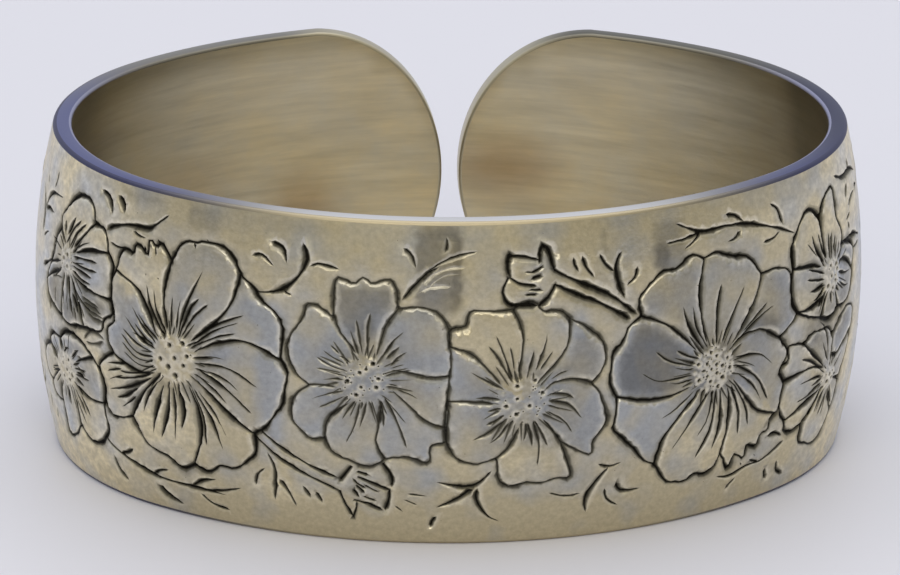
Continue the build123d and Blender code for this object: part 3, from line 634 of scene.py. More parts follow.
# %% Strokes of the two buds, of a shaded hollow and of the teeth on petals
# the hollow is the dark ground between the two small flowers on the left
SHADED_HOLLOW = (
    (0.3, -34.6, 3.8, -34.2, 2.3, -33.6, 0.7), (0.26, -34.2, 3.95, -33.4, 2.9, -32.5, 1.85),
    (0.3, -33.8, 3.1, -32.8, 2.5, -31.5, 1.8), (0.3, -33.2, 2.3, -32.6, 1.7, -32.1, 1.1),
    (0.26, -34.8, 2.4, -34.6, 1.5, -34.5, 0.9), (0.3, -33.7, 1.8, -33.4, 1.1, -33.2, 0.5),
    (0.24, -35.6, 3.2, -35.3, 2.3, -35.1, 1.0), (0.34, -32.7, 2.9, -31.5, 2.6, -30.4, 2.5),
    (0.36, -32.5, 2.5, -31.3, 2.3, -30.1, 2.1), (0.36, -32.1, 2.1, -31.0, 1.9, -29.9, 1.8),
    (0.34, -31.9, 1.8, -30.9, 1.5, -29.9, 1.5), (0.26, -36.6, 2.4, -36.7, 1.8, -36.5, 0.9),
    (0.24, -36.9, 1.1, -36.4, 0.4, -35.6, 0.1), (0.26, -37.4, 2.9, -36.3, 3.3, -35.4, 3.4),
    (0.24, -38, 1.6, -37.9, 0.7, -37.4, 0.1), (0.34, -32.1, -0.6, -31.3, -0.6, -30.5, -0.3, -29.9, 0),
    (0.3, -32.3, -0.6, -32.1, -0.2, -31.6, 0.3, -30.8, 0.4, -30.1, 0.3, -29.8, 0.1),
    (0.26, -35.9, -1.5, -35.3, -1.0, -34.5, -0.7, -33.9, -0.8), (0.24, -33.8, -2.0, -33.0, -1.7),
    (0.24, -33.3, -2.3, -32.2, -2.3), (0.26, -33.4, -3.1, -32.7, -3.4, -32.2, -3.7))
TEETH = (
    (0.4, -26.35, 8.6, -26.2, 7.9), (0.36, -25.85, 8.9, -25.7, 8.3), (0.42, -25.4, 8.7, -25.2, 7.9),
    (0.4, -25.2, 9.3, -25.05, 8.5), (0.36, -24.65, 9.3, -24.5, 8.7), (0.34, -22.0, 9.6, -21.8, 9.1),
    (0.3, -21.0, 10.1, -20.7, 9.8), (0.16, -26.0, 6.5, -26.0, 6.2), (0.16, -24.9, 6.4, -24.8, 6.2),
    (0.3, 20.2, -8.9, 20.5, -9.5), (0.28, 21.6, -9.0, 21.8, -9.4), (0.26, 22.9, -8.6, 23.2, -8.9))
LEFT_BUD = (
    (0.3, -16, -4.4, -14.7, -5.4, -12.6, -6.6, -10.4, -7.5),
    (0.32, -16.6, -4.8, -14.7, -6.4, -12.5, -7.6, -10.4, -8.55),
    (0.36, -9.4, -6.5, -9.9, -7.25, -10.35, -7.85), (0.4, -10.3, -8.6, -9.8, -9.85, -9.3, -10.75),
    (0.34, -9.3, -10.75, -9.05, -10, -9, -9.35), (0.3, -9.2, -9.3, -8.2, -9.55, -7, -10.1),
    (0.44, -6.55, -8.3, -6.6, -9.1, -6.9, -10.1), (0.28, -8.85, -7.3, -7.7, -7.8, -6.55, -8.25),
    (0.38, -7, -6.1, -6.5, -6.85, -6.35, -7.35, -6.4, -8.1), (0.3, -8.85, -6.85, -8.0, -7.1),
    (0.34, -9.15, -7.6, -8.7, -8.0, -8.25, -8.25), (0.32, -8.95, -8.1, -8.35, -8.7),
    (0.26, -9.2, -8.5, -8.75, -9.1), (0.24, -8.3, -8.0, -7.3, -8.55), (0.22, -8.4, -8.95, -7.4, -9.3))
RIGHT_BUD = (
    (0.26, 2.1, 10.35, 3.2, 10.25, 4.35, 9.9), (0.42, 2.1, 10.35, 1.95, 9.5, 2.15, 8.75),
    (0.4, 1.95, 8.65, 1.6, 7.85, 1.75, 7.1, 2.25, 6.6, 3.25, 6.6, 4.15, 6.5),
    (0.3, 2.15, 8.7, 2.85, 8.25, 4.15, 8), (0.34, 4.35, 9.8, 4.4, 10.55, 4.65, 10.95),
    (0.46, 4.65, 10.95, 5.05, 10.6, 5.45, 9.15), (0.4, 5.45, 8, 4.95, 7.05, 4.2, 6.4),
    (0.5, 5.45, 9.1, 6.55, 8.45, 8.25, 7.6, 9.75, 6.75, 10.9, 5.85, 11.8, 5.05),
    (0.46, 5.6, 7.95, 7, 7.2, 8.8, 6.35, 10.2, 5.5, 11.3, 4.75),
    (0.3, 4.4, 9.35, 4.05, 9.15, 3.6, 9.05), (0.32, 4.3, 8.7, 3.6, 8.5), (0.24, 3.75, 9.05, 3.1, 9.1),
    (0.22, 3.95, 7.35, 3.05, 7.4), (0.26, 4.3, 7.7, 3.4, 7.7))
print("buds of", len(LEFT_BUD), "and", len(RIGHT_BUD), "strokes,", len(SHADED_HOLLOW),
      "in the hollow and", len(TEETH), "teeth")

# %% [markdown]
# The strokes are cut where they were charted. On the unseen side some groups are cut once more,
# mirrored, beside the flower of the same kind there, and the sum of a place's u and of its mirrored
# u says where. One leafy spray fills what is left bare at the sides and near the two ends.

# %% Engrave the ground
# chart, weight, the parts of a stroke that swell and run out, roughness, soft dip, ink, lean
GROUND = (
    (BESIDE_FAN, 2.0, 0.1, 0.4, 0.1, 0, 1.1, 0.2),
    (BESIDE_LARGE, 2.0, 0.1, 0.35, 0.1, 0, 1, 0.2),
    (BESIDE_TULIP, 1.8, 0.1, 0.35, 0.1, 0, 0.85, 0.2),
    (BRIGHT_SPRIG, 1, 0.2, 0.5, 0.1, 0, -0.7, 0),
    (BESIDE_OPEN, 1.9, 0.1, 0.35, 0.1, 0, 0.9, 0.2),
    (BESIDE_RUFFLED, 1.9, 0.1, 0.3, 0.1, 0, 1, 0.2),
    (BESIDE_HORNED, 2.0, 0.1, 0.4, 0.1, 0, 1.1, 0.2),
    (BESIDE_RIGHT_BUD, 1.8, 0.1, 0.3, 0.1, 0, 1, 0.2),
    (SHADED_HOLLOW, 1.0, 0.1, 0.4, 0.2, 0, 0.7, 1),
    (TEETH, 0.85, 0.1, 0.3, 0.2, 0, 1, 0.3),
    (LEFT_BUD, 1.3, 0.0, 0.1, 0.12, 0.8, 0.95, 0.4),
    (RIGHT_BUD, 1.3, 0.0, 0.1, 0.12, 0.8, 1, 0.4))
for chart, weight, start, end, ragged, dip, ink, lean in GROUND:
    for width, *places in chart:
        cut(pairs(places), weight * width, start, end, ragged, dip, ink, lean)

# chart, sum of u and its mirrored u, weight
MIRRORED = (
    (BESIDE_RUFFLED, 65.8, 1.9), (BESIDE_OPEN, 66.7, 1.9), (BESIDE_LARGE, -74.9, 1.9),
    (BESIDE_TULIP, -76.2, 1.9), (BESIDE_RIGHT_BUD, 66.2, 1.6), (LEFT_BUD, -75.5, 1.2))
for chart, mirror_sum, weight in MIRRORED:
    for width, *places in chart:
        mirrored = [(mirror_sum - u, v) for u, v in pairs(places)]
        cut(mirrored, weight * width, 0.1, 0.4, 0.1, lean=0.2)
print(len(cuts), "cuts so far")

# %% Leafy sprays and dents
# width, then across and up from the spray's foot
SPRAY = (
    (0.5, 0, 0, 1.7, 0.7, 3.5, 0.7, 5.2, 0.1), (0.4, 1.5, 0.6, 2.0, 1.6, 3.0, 2.1),
    (0.4, 2.6, 0.75, 3.3, 1.5, 4.3, 1.7), (0.4, 2.0, 0.65, 2.8, -0.3, 3.8, -0.7),
    (0.45, -0.9, 1.0, -0.2, 1.9, 0.3, 2.2), (0.4, 0.3, -1.2, 1.2, -1.6, 2.0, -1.5))
# u and v of the foot, turn in degrees, and 1 or -1 for the side its leaves are on
SPRAYS = (
    (69.6, 7.9, 0, 1), (70.4, -8.1, 0, -1), (-74.2, 7.9, 180, -1), (-75.2, -8.1, 180, 1),
    (38.3, -9.4, 86, -1), (-41.2, -9.6, 94, 1))
for u, v, turn, side in SPRAYS:
    along, across = cos(radians(turn)), sin(radians(turn))
    for width, *places in SPRAY:
        cut([(u + x * along - side * y * across, v + x * across + side * y * along)
             for x, y in pairs(places)], width, 0.1, 0.4, 0.1, lean=0.2)

dents, dent_width = 260, (0.06, 0.12)       # small dents of wear, scattered over the band
for _ in range(dents):
    punch(hand.uniform(-72, 72), hand.uniform(-11.5, 12), hand.uniform(*dent_width), ink=0.8)
print(len(cuts), "cuts,", round(sum(np.hypot(*np.diff(c[0], axis=0).T).sum() for c in cuts)),
      "millimetres of engraving")

# %% [markdown]
# ## How deep the metal is cut at any place
#
# Where the graver is held upright, a groove is a V with two steep walls. Where it leans, one wall
# is steep and the other is gentle and runs out in a wide grey flank. Along a steep wall the metal
# is thrown up into a ridge, which gets a painted highlight. Where grooves cross, the deeper one wins,
# as it does in metal.
# Asking every point about every cut would take minutes, so the cuts are first sorted into
# one-millimetre squares of the strip, and a point only asks its own square.

# %% Sort the cuts into squares
# distances across a groove, in its own half widths
steep_edge, ridge_end = 0.8, 1.9
gentle_edge, facet_end, flank_end = 1.0, 1.7, 1.95
slack = 0.1                 # a groove is looked for this much further out than it reaches


def cut_segments():
    """Every piece of every cut: its two ends, the half widths there, its dip's reach, its ink and
    its lean."""
    rows = []
    for line, half, *rest in cuts:
        last = max(len(line) - 1, 1)
        for i in range(last):
            j = min(i + 1, len(line) - 1)
            rows.append((*line[i], *line[j], half[i], half[j], *rest))
    return np.array(rows)


def squares_of(segments):
    """Which segments can be felt from each one-millimetre square."""
    found = {}
    reach = np.maximum(flank_end * segments[:, 4:6].max(1), segments[:, 6]) + slack
    low = np.floor(np.minimum(segments[:, 0:2], segments[:, 2:4]) - reach[:, None]).astype(int)
    high = np.floor(np.maximum(segments[:, 0:2], segments[:, 2:4]) + reach[:, None]).astype(int)
    for index, (a, b) in enumerate(zip(low, high)):
        for i in range(a[0], b[0] + 1):
            for j in range(a[1], b[1] + 1):
                found.setdefault((i, j), []).append(index)
    return found


segments = cut_segments()
squares = squares_of(segments)
print(len(segments), "segments in", len(squares), "squares")


# %% The shape of a groove
groove_depth = 0.9          # in half widths
gentle_depth = 0.24         # of the full depth, at the foot of a gentle wall
ridge_height = 0.12
ridge_from, ridge_whole = 0.07, 0.12    # half widths of a cut that throws up no ridge, or all of it


def across_groove(x, half, gentle):
    """Depth, blackness and ridge x half widths away from the bottom line of a groove. gentle is 0
    on the side of a steep wall and up to 1 on that of a gentle one."""
    steep_wall = np.clip(1 - x / steep_edge, 0, None)
    gentle_wall = np.interp(x, (0, gentle_edge, flank_end), (1, gentle_depth, 0))
    rises, falls = 2 * x / steep_edge - 1, (ridge_end - x) / (ridge_end - steep_edge)
    burr = (np.clip(np.minimum(rises, falls), 0, 1) * (1 - gentle)
            * np.clip((half - ridge_from) / (ridge_whole - ridge_from), 0, 1))
    depth = half * (groove_depth * (steep_wall + gentle * (gentle_wall - steep_wall))
                    - ridge_height * burr)
    steep_black = np.interp(x, (0, steep_edge, 1.1 * steep_edge), (1.15, 0.08, 0))
    gentle_black = np.interp(x, (0, gentle_edge, facet_end, flank_end), (1.15, 0.5, 0.28, 0))
    return depth, steep_black + gentle * (gentle_black - steep_black), burr


for x in (0.0, 0.5, 1.2):
    print("steep side,", x, "half widths out: depth, black and ridge are",
          [round(float(value), 3) for value in across_groove(x, 0.2, 0)])

# %% Look up the engraving at any place
thinnest = 0.02             # half width below which a cut leaves no mark
full_mark = 0.05            # half width from which it keeps all its black
dip_depth = 0.055


def engraving_at(points):
    """At points of the strip: groove depth, soft dip, ink (1 on the bottom line of a black groove)
    and ridge, a painted highlight (1 along a steep edge, and on strokes whose ink is below zero)."""
    felt = np.zeros((len(points), 4))
    square = np.floor(points).astype(int)
    order = np.lexsort((square[:, 1], square[:, 0]))
    starts = np.flatnonzero(np.any(np.diff(square[order], axis=0, prepend=[[9999, 9999]]), axis=1))
    for group in np.split(order, starts[1:]):
        close = squares.get(tuple(square[group[0]]))
        if not close:
            continue
        found = segments[close]
        a, along, w = found[:, 0:2], found[:, 2:4] - found[:, 0:2], found[:, 4:6]
        dip, ink, lean = found[:, 6:9].T
        length2 = np.maximum((along ** 2).sum(1), 1e-9)
        to = points[group][:, None] - a
        t = np.clip((to * along).sum(2) / length2, 0, 1)
        away = np.hypot(*np.moveaxis(to - t[..., None] * along, 2, 0))
        half = w[:, 0] + t * (w[:, 1] - w[:, 0])
        on_right = to[..., 0] * along[:, 1] - to[..., 1] * along[:, 0] > 0
        depth, black, burr = across_groove(away / np.maximum(half, 0.004), half, lean * on_right)
        black = black * np.clip((half - thinnest) / (full_mark - thinnest), 0, 1)
        dark = (np.clip(ink, 0, None) * black).max(1)
        shine = np.clip(-ink, 0, None) * black
        pressed = np.where(dip > 0, np.clip(1 - away / np.maximum(dip, 0.01), 0, 1) ** 2, 0)
        burr = burr * np.clip(1 - 2.5 * dark[:, None], 0, 1) * np.clip(np.abs(ink), 0, 1)
        felt[group, 0] = np.where(depth.max(1) > 0.002, depth.max(1), depth.min(1))
        felt[group, 1] = dip_depth * pressed.max(1)
        felt[group, 2] = dark
        # the painted highlight along the ridges beside the grooves and on the bright strokes
        felt[group, 3] = np.maximum(burr, shine).max(1)
    return felt


def bumps_at(points):
    """Height and painted highlight of the beads and of the domed flower middles."""
    raised = np.zeros((len(points), 2))
    for u, v, radius, high, bright in bumps:
        close = np.flatnonzero((np.abs(points - (u, v)) < radius).all(1))
        r2 = ((points[close] - (u, v)) ** 2).sum(1) / radius ** 2
        raised[close] += np.clip(1 - r2, 0, 1)[:, None] * (high, bright)
    return raised


def heights_at(points):
    """Height over the plain band of the soft relief, and the height of the grooves on it."""
    felt = engraving_at(points)
    return np.stack([bumps_at(points)[:, 0] - felt[:, 1], -felt[:, 0]], 1)


large_middle = np.array([FLOWERS[2][1:3]])
print("relief at the middle of the large flower, millimetres:", heights_at(large_middle).round(3))

# %% [markdown]
# ## The flat blank
#
# A grid fine enough for 0.2 mm grooves would need millions of faces. Blender's Delaunay function
# does better: it takes the lines we care about, the bottom and both edges of every groove, and
# fills the rest of the blank with large triangles. No primitive or modifier gives that, which is
# why the engraved face is the one mesh here that isn't started from a primitive.

# %% Outline of the blank
rim_steps = 204             # along each rim, the same for both faces, so that the wall closes
end_steps = 64
end_radius = half_height + 0.05     # a little over the half height, so that an end meets a rim


def end_outline(side, depth):
    """One rounded end of the strip as u and v, from the lower rim to the upper, at this depth."""
    limit = asin(half_height / end_radius)
    turn = np.linspace(-limit, limit, end_steps + 1)
    v = np.clip(end_radius * np.sin(turn), -half_height, half_height)
    x = gap_offset + side * (gap_width / 2 + end_length * (1 - np.cos(turn)))
    out = swell(v) - depth(v)
    u = front_radius * np.arcsin(x / (front_radius + out))
    return np.stack([side * strip_half_length - u, v], 1)


def blank_outline(depth):
    """The strip's outline, counter-clockwise, where it is cut this deep below the outer face."""
    right, left = end_outline(1, depth), end_outline(-1, depth)[::-1]
    low = np.linspace(left[-1, 0], right[0, 0], rim_steps + 1)[1:-1]
    high = np.linspace(right[-1, 0], left[0, 0], rim_steps + 1)[1:-1]
    return np.concatenate([np.stack([low, np.full(len(low), -half_height)], 1), right,
                           np.stack([high, np.full(len(high), half_height)], 1), left])


def inside_points(outline, spacing, margin):
    """A staggered grid of points well inside an outline."""
    v = np.arange(-half_height + margin, half_height - margin / 2, spacing)
    u = np.arange(outline[:, 0].min(), outline[:, 0].max(), spacing)
    grid = np.array([(a + (0.5 * spacing if i % 2 else 0), b) for i, b in enumerate(v) for a in u])
    keep = np.ones(len(grid), bool)
    for side in (-1, 1):
        tip = outline[:, 0].max() if side > 0 else outline[:, 0].min()
        from_tip = side * (tip - grid[:, 0])
        room = end_length * (1 - np.sqrt(np.clip(1 - (grid[:, 1] / half_height) ** 2, 0, 1)))
        keep &= from_tip > room + margin
    return grid[keep]


outer_outline = blank_outline(np.zeros_like)
inner_outline = blank_outline(wall)
print(len(outer_outline), "points round the blank, from", outer_outline[:, 0].min().round(2), "to",
      outer_outline[:, 0].max().round(2))

# %% [markdown]
# ## Painted reflections and highlights
#
# Silver isn't one colour, and some of what it mirrors is painted into its colour here: painted cool
# reflections on the middle of the band, painted dark reflections on the flat of some petals with
# their borders left bright, a few straight-edged painted dark patches on the smooth band above the
# flowers, and painted highlights on the sides. Short charts give these soft patches, which the
# material reads later as numbers on the mesh.

# %% Charts of the painted reflections and highlights
# u, v, half width, half height, squareness, soft edge, amount
# painted dark reflections and shade on the band
PAINTED_DARK_PATCHES = (
    (-3.1, 9.4, 1.9, 3.7, 8, 0.2, 0.8), (-1.7, 9.3, 0.35, 3.3, 8, 0.6, 0.6),
    (-2.9, 12.3, 1.5, 0.45, 4, 0.8, 0.5), (-21.2, 11.6, 1.4, 1.0, 8, 0.3, 0.35),
    (-22.5, 11.7, 0.3, 1.1, 6, 0.6, 0.4), (14.7, 9.9, 1.6, 2.2, 6, 0.35, 0.55),
    (13.9, 9.2, 0.9, 1.3, 3, 0.6, 0.6), (9.3, 11.2, 0.22, 1.9, 6, 0.8, 0.5),
    (-31.4, 2.4, 2.4, 1.6, 2, 0.9, 0.8), (-34.6, 0.8, 2.6, 1.8, 2, 0.9, 0.7),
    (23.0, 2.0, 2.3, 1.3, 2, 0.8, 0.7), (29.0, 0.2, 2.6, 1.9, 2, 0.7, 0.8),
    (-27.5, 12.1, 4.0, 0.9, 2, 0.9, 0.45), (30.0, 12.2, 5.0, 0.9, 2, 0.9, 0.25),
    (-13.0, 12.1, 5.0, 0.7, 2, 0.9, 0.2), (33.0, 0.2, 3.4, 2.4, 2, 0.8, 0.7),
    (-37.5, 1.5, 3.0, 2.5, 2, 0.9, 0.5), (35.5, 5.5, 2.0, 4.0, 2, 0.9, 0.3),
    (41.0, 0.0, 6.0, 13.0, 4, 0.8, 0.3))
# painted cool reflections; amounts below zero are painted warm reflections
COOL_REFLECTIONS = (
    (-23.3, 0.3, 2.1, 2.1, 2, 0.4, -0.9),
    (-15.6, -2.0, 1.6, 7.0, 2, 0.7, 0.8), (-15.0, 5.0, 2.5, 2.0, 2, 0.7, 0.6),
    (-4.5, -7.2, 4.0, 1.4, 2, 0.8, 0.7), (10.6, -1.0, 1.2, 5.0, 2, 0.7, 0.6),
    (8.0, 5.0, 2.5, 1.5, 2, 0.8, 0.4), (4.0, 12.0, 3.0, 1.0, 2, 0.8, 0.4),
    (0, -11.5, 40, 3.0, 4, 0.8, -0.6), (41.0, 0.0, 6.0, 13.0, 4, 0.8, 0.7),
    (-41.5, 0.0, 5.0, 13.0, 4, 0.8, 0.6), (-17.0, -3.5, 2.6, 2.6, 2, 0.9, -0.4))
# painted highlights on the band
PAINTED_HIGHLIGHTS = (
    (-24.5, -5.5, 5.0, 3.6, 2, 0.8, 0.7), (-26.0, 6.0, 2.4, 3.0, 2, 0.8, 0.6),
    (-15.0, -9.0, 4.0, 2.0, 2, 0.8, 0.5), (0.5, 3.4, 3.0, 2.0, 2, 0.8, 0.15),
    (3.5, -6.5, 3.5, 2.5, 2, 0.8, 0.5), (18.0, -7.0, 5.0, 3.0, 2, 0.8, 0.6),
    (25.0, 9.8, 5.0, 2.2, 2, 0.8, 0.5), (-31.0, -8.5, 5.0, 3.0, 2, 0.8, 0.3))
BROWNED_INSIDE = (
    (81.0, 0.5, 7.0, 4.0, 2, 0.9, 1.0), (-77.5, -3.0, 4.5, 5.5, 2, 0.9, 0.9),
    (-66.0, 1.0, 8.0, 4.0, 2, 0.9, 0.4), (66.0, -4.0, 6.0, 5.0, 2, 0.9, 0.4))
print(len(PAINTED_DARK_PATCHES), "dull,", len(COOL_REFLECTIONS), "cool or warm,", len(PAINTED_HIGHLIGHTS), "polished and",
      len(BROWNED_INSIDE), "brown patches")


# %% Read a chart at any place
def clouds_at(points, chart):
    """Sum of the soft patches of a chart, at points of the strip."""
    total = np.zeros(len(points))
    for u, v, wide, high, square, soft, amount in chart:
        r = ((np.abs(points[:, 0] - u) / wide) ** square
             + (np.abs(points[:, 1] - v) / high) ** square) ** (1 / square)
        fade = np.clip((1 - r) / soft, 0, 1)
        total += amount * fade * fade * (3 - 2 * fade)
    return total


def rise(values, start, end):
    """0 up to start, 1 from end on, smooth between."""
    t = np.clip((values - start) / (end - start), 0, 1)
    return t * t * (3 - 2 * t)


print("patina on a dull patch above the flowers:", clouds_at(np.array([[-3.1, 9.4]]), PAINTED_DARK_PATCHES).round(2))

# %% The tints of the petals
flower_reach = 10.6         # no flower is larger than this
shade_reach = 3.0           # the pleated ground round a flower's middle is darker this far out
shade = 0.7                 # and this much darker beside the middle
clear_line, border = 0.15, 0.9      # how far in from an outline a petal's painted dark reflection starts, and is whole
reflection_start = 2.2            # it also grows over this distance outside the middle


def petal_tints(points):
    """The darker ground round the flower middles, the painted dark reflections on the petals, and the
    painted cool reflections on the petals, at points of the strip.
    """
    tints = np.zeros((len(points), 2))
    for kind, u, v, turn, mirrored, _, _, *amounts in FLOWERS:
        close = np.flatnonzero((np.abs(points - (u, v)) < flower_reach).all(1))
        across, up = (points[close] - (u, v)).T
        across = -across if mirrored else across
        r = np.hypot(across, up)
        angle = np.degrees(np.arctan2(up, across)) - turn
        foot_r, petals = kind["middle"] + ring_gap, kind["petals"]
        # the middle and the pleated ground round it are darker
        tints[close, 0] += np.where(r < foot_r, kind["middle_film"],
                                    shade * np.clip(1 - (r - foot_r) / shade_reach, 0, 1) ** 1.5)
        for i, (dark_share, cool_share, petal) in enumerate(zip(*amounts, petals)):
            after = petals[(i + 1) % len(petals)]
            sides = [fold_angle(p, np.clip((r - foot_r) / (p[1] - foot_r), 0, 1))
                     for p in (petal, after)]
            span = (sides[1] - sides[0]) % 360
            ahead = (angle - sides[0]) % 360
            sweep = (after[0] - petal[0]) % 360
            rim = np.interp((angle - petal[0]) % 360, np.linspace(0, sweep, len(petal[4]) + 2),
                            (petal[1], *petal[4], after[1]))
            edge = np.minimum(np.minimum(ahead, span - ahead) * r * pi / 180, rim - r)
            inside = (ahead < span) & (r < rim)
            flat_part = rise(edge, clear_line, border) * rise(r, foot_r, foot_r + reflection_start)
            # painted dark reflection on the flat of the petal, clear of its outlines, and painted cool
            # reflection over all of it
            tints[close, 0] += np.where(inside, dark_share * flat_part, 0)
            tints[close, 1] += np.where(inside, cool_share, 0)
    return tints


print("film and coolness on the middle of the large flower:", petal_tints(large_middle).round(2))

# %% Points and lines for the triangles
ring_sides = 7              # of the ring of points round a pit or a bead
leaning = 0.5               # a cut that leans more than this has a facet on its gentle side
blank_points, blank_lines = [], []


def lay_ring(u, v, radius):
    """Put down a ring of points."""
    for i in range(ring_sides):
        turn = 2 * pi * i / ring_sides
        blank_points.append(np.array([u + radius * cos(turn), v + radius * sin(turn)]))


def lay_cut(line, half, lean):
    """Put down the points of one groove, and as lines its bottom and its two edges. The points
    are the bottom, the two edges, the ridge's end, the flank's end and a leaning cut's facet."""
    if len(line) == 1:
        blank_points.append(line[0])
        lay_ring(*line[0], steep_edge * half[0])
        lay_ring(*line[0], ridge_end * half[0])
        return
    ahead = np.gradient(line, axis=0)
    ahead /= np.hypot(*ahead.T)[:, None]
    left = np.stack([-ahead[:, 1], ahead[:, 0]], 1)
    previous = None
    for point, aside, h in zip(line, left, half):
        first = len(blank_points)
        blank_points.append(point)
        rails = (first, first, first)
        if h > thinnest:
            near = gentle_edge if lean > leaning else steep_edge
            blank_points.extend([point + steep_edge * h * aside, point - near * h * aside,
                                 point + ridge_end * h * aside, point - flank_end * h * aside])
            if lean > leaning:
                blank_points.append(point - facet_end * h * aside)
            rails = (first, first + 1, first + 2)
        if previous:
            blank_lines.extend((a, b) for a, b in zip(previous, rails))
        previous = rails


for line, half, _, _, lean in cuts:
    lay_cut(line, half, lean)
for u, v, radius, _, _ in bumps:
    blank_points.append(np.array([u, v]))
    lay_ring(u, v, radius)
print(len(blank_points), "points and", len(blank_lines), "lines from the engraving")


# %% Fill the blank with triangles
outer_spacing, outer_margin = 0.55, 0.7     # of the loose points between the grooves
inner_spacing, inner_margin = 2.0, 1.2
weld = 0.004                # points closer than this become one


def triangles(outline, points, lines):
    """Delaunay triangles inside an outline that keep the lines as edges."""
    count = len(outline)
    places = [Vector(p) for p in outline] + [Vector(p) for p in points]
    edges = [(a + count, b + count) for a, b in lines if a != b]
    made = delaunay_2d_cdt(places, edges, [list(range(count))], 1, weld, False)
    return np.array([tuple(p) for p in made[0]]), made[2]


loose = inside_points(outer_outline, outer_spacing, outer_margin)
outer_flat, outer_faces = triangles(outer_outline, blank_points + list(loose), blank_lines)
loose = inside_points(inner_outline, inner_spacing, inner_margin)
inner_flat, inner_faces = triangles(inner_outline, loose, [])
print("outer face:", len(outer_flat), "points,", len(outer_faces), "triangles; inner face:",
      len(inner_faces))

# %% [markdown]
# ## Walls and soft edges
#
# The engraved face and the plain inner face are joined by a wall all round, and the two sharp
# edges of that wall are softened with the bevel tool, as a maker does with a file and a
# burnisher. The strip is still flat and still measured in millimetres here.

# %% Join the faces
def nearest_index(places, wanted):
    """For each wanted place, which of the places is closest to it."""
    return [int(np.argmin(((places - w) ** 2).sum(1))) for w in wanted]


outer_loop = nearest_index(outer_flat, outer_outline)
inner_loop = [i + len(outer_flat) for i in nearest_index(inner_flat, inner_outline)]
outer_z = heights_at(outer_flat).sum(1)
outer_z[outer_loop] = 0
corners = np.concatenate([np.column_stack([outer_flat, outer_z]),
                          np.column_stack([inner_flat, -wall(inner_flat[:, 1])])])
faces = [tuple(f) for f in outer_faces]
faces += [tuple(i + len(outer_flat) for i in reversed(f)) for f in inner_faces]
next_outer, next_inner = [loop[1:] + loop[:1] for loop in (outer_loop, inner_loop)]
faces += list(zip(next_outer, outer_loop, inner_loop, next_inner))
print("deepest groove", -outer_z.min().round(3), "mm, wall of", len(outer_loop), "faces")

# %% The mesh and its materials
blank = bpy.data.meshes.new("engraved_cuff")
blank.from_pydata(corners.tolist(), [], faces)
cuff = bpy.data.objects.new("engraved_cuff", blank)
bpy.context.collection.objects.link(cuff)
OUTSIDE, INSIDE, WALL, EDGE = range(4)
for name in ("engraved_satin_silver", "brushed_inside_silver", "filed_rim_silver",
             "burnished_edge_silver"):
    blank.materials.append(bpy.data.materials.new(name))
kinds = [OUTSIDE] * len(outer_faces) + [INSIDE] * len(inner_faces) + [WALL] * len(outer_loop)
blank.polygons.foreach_set("material_index", kinds)
print(len(blank.materials), "materials on", len(blank.polygons), "faces")

# %% Bevel the two sharp edges
bpy.ops.object.select_all(action="DESELECT")
bpy.context.view_layer.objects.active = cuff
cuff.select_set(True)
corner_lines = {frozenset(pair) for loop, ahead in ((outer_loop, next_outer), (inner_loop, next_inner))
                for pair in zip(loop, ahead)}
bpy.context.tool_settings.mesh_select_mode = (False, True, False)
bpy.ops.object.mode_set(mode="EDIT")
bpy.ops.mesh.select_all(action="DESELECT")
bpy.ops.object.mode_set(mode="OBJECT")
for edge in blank.edges:
    edge.select = frozenset(edge.vertices) in corner_lines
bpy.ops.object.mode_set(mode="EDIT")
bpy.ops.mesh.bevel(offset=edge_round, segments=3, affect="EDGES", material=EDGE)
bpy.ops.object.mode_set(mode="OBJECT")
print("flat strip:", len(blank.vertices), "points,", len(blank.polygons), "faces")

# %% [markdown]
# ## Bent round the oval
#
# One function call bends the whole strip. Smooth shading would blur the light over the long thin
# triangles beside each groove, so the engraved face gets normals worked out from the curve of the
# band and the slope of the engraving. The flat position is kept as a UV map, in metres, and
# the darkness of the grooves as an attribute, for the materials to read.

# %% Bend the strip
def mesh_numbers(rows, field, count, kind=float):
    """A field of a mesh's points, corners or faces, as an array."""
    values = np.zeros(count, kind)
    rows.foreach_get(field, values)
    return values


flat = mesh_numbers(blank.vertices, "co", 3 * len(blank.vertices)).reshape(-1, 3)
bent = bend(flat)
blank.vertices.foreach_set("co", bent.ravel())
face_kind = mesh_numbers(blank.polygons, "material_index", len(blank.polygons), int)
loop_total = mesh_numbers(blank.polygons, "loop_total", len(blank.polygons), int)
loop_vertex = mesh_numbers(blank.loops, "vertex_index", len(blank.loops), int)
on_outside = np.zeros(len(flat), bool)
on_outside[loop_vertex[np.repeat(face_kind, loop_total) == OUTSIDE]] = True
places = flat[on_outside, :2]
print("bent cuff, millimetres:", (np.ptp(bent, axis=0) / MM).round(1), "triangles:",
      (loop_total - 2).sum())

# %% Normals from the engraving
step = 0.02                 # the slope is measured over this distance to both sides
ink_and_ridge = engraving_at(places)[:, 2:]
in_groove = np.clip(6 * ink_and_ridge.sum(1), 0, 1)     # a groove has no slope at its very tips
slopes = []
for sideways in np.eye(2) * step:
    soft, sharp = ((heights_at(places + sideways) - heights_at(places - sideways)) / (2 * step)).T
    slopes.append(soft + in_groove * sharp)
slope_u, slope_v = slopes
_, _, nx, ny = on_oval(places[:, 0])
dome_slope = 2 * dome * places[:, 1] / half_height ** 2
zero = np.zeros(len(places))
normals = (np.stack([nx, ny, dome_slope], 1) - slope_u[:, None] * np.stack([-ny, nx, zero], 1)
           - slope_v[:, None] * np.stack([-dome_slope * nx, -dome_slope * ny, zero + 1], 1))
normals /= np.linalg.norm(normals, axis=1)[:, None]
vertex_normals = np.zeros((len(flat), 3))       # a normal of zero is left to Blender
vertex_normals[on_outside] = normals
blank.shade_smooth()
blank.normals_split_custom_set(vertex_normals[loop_vertex].tolist())
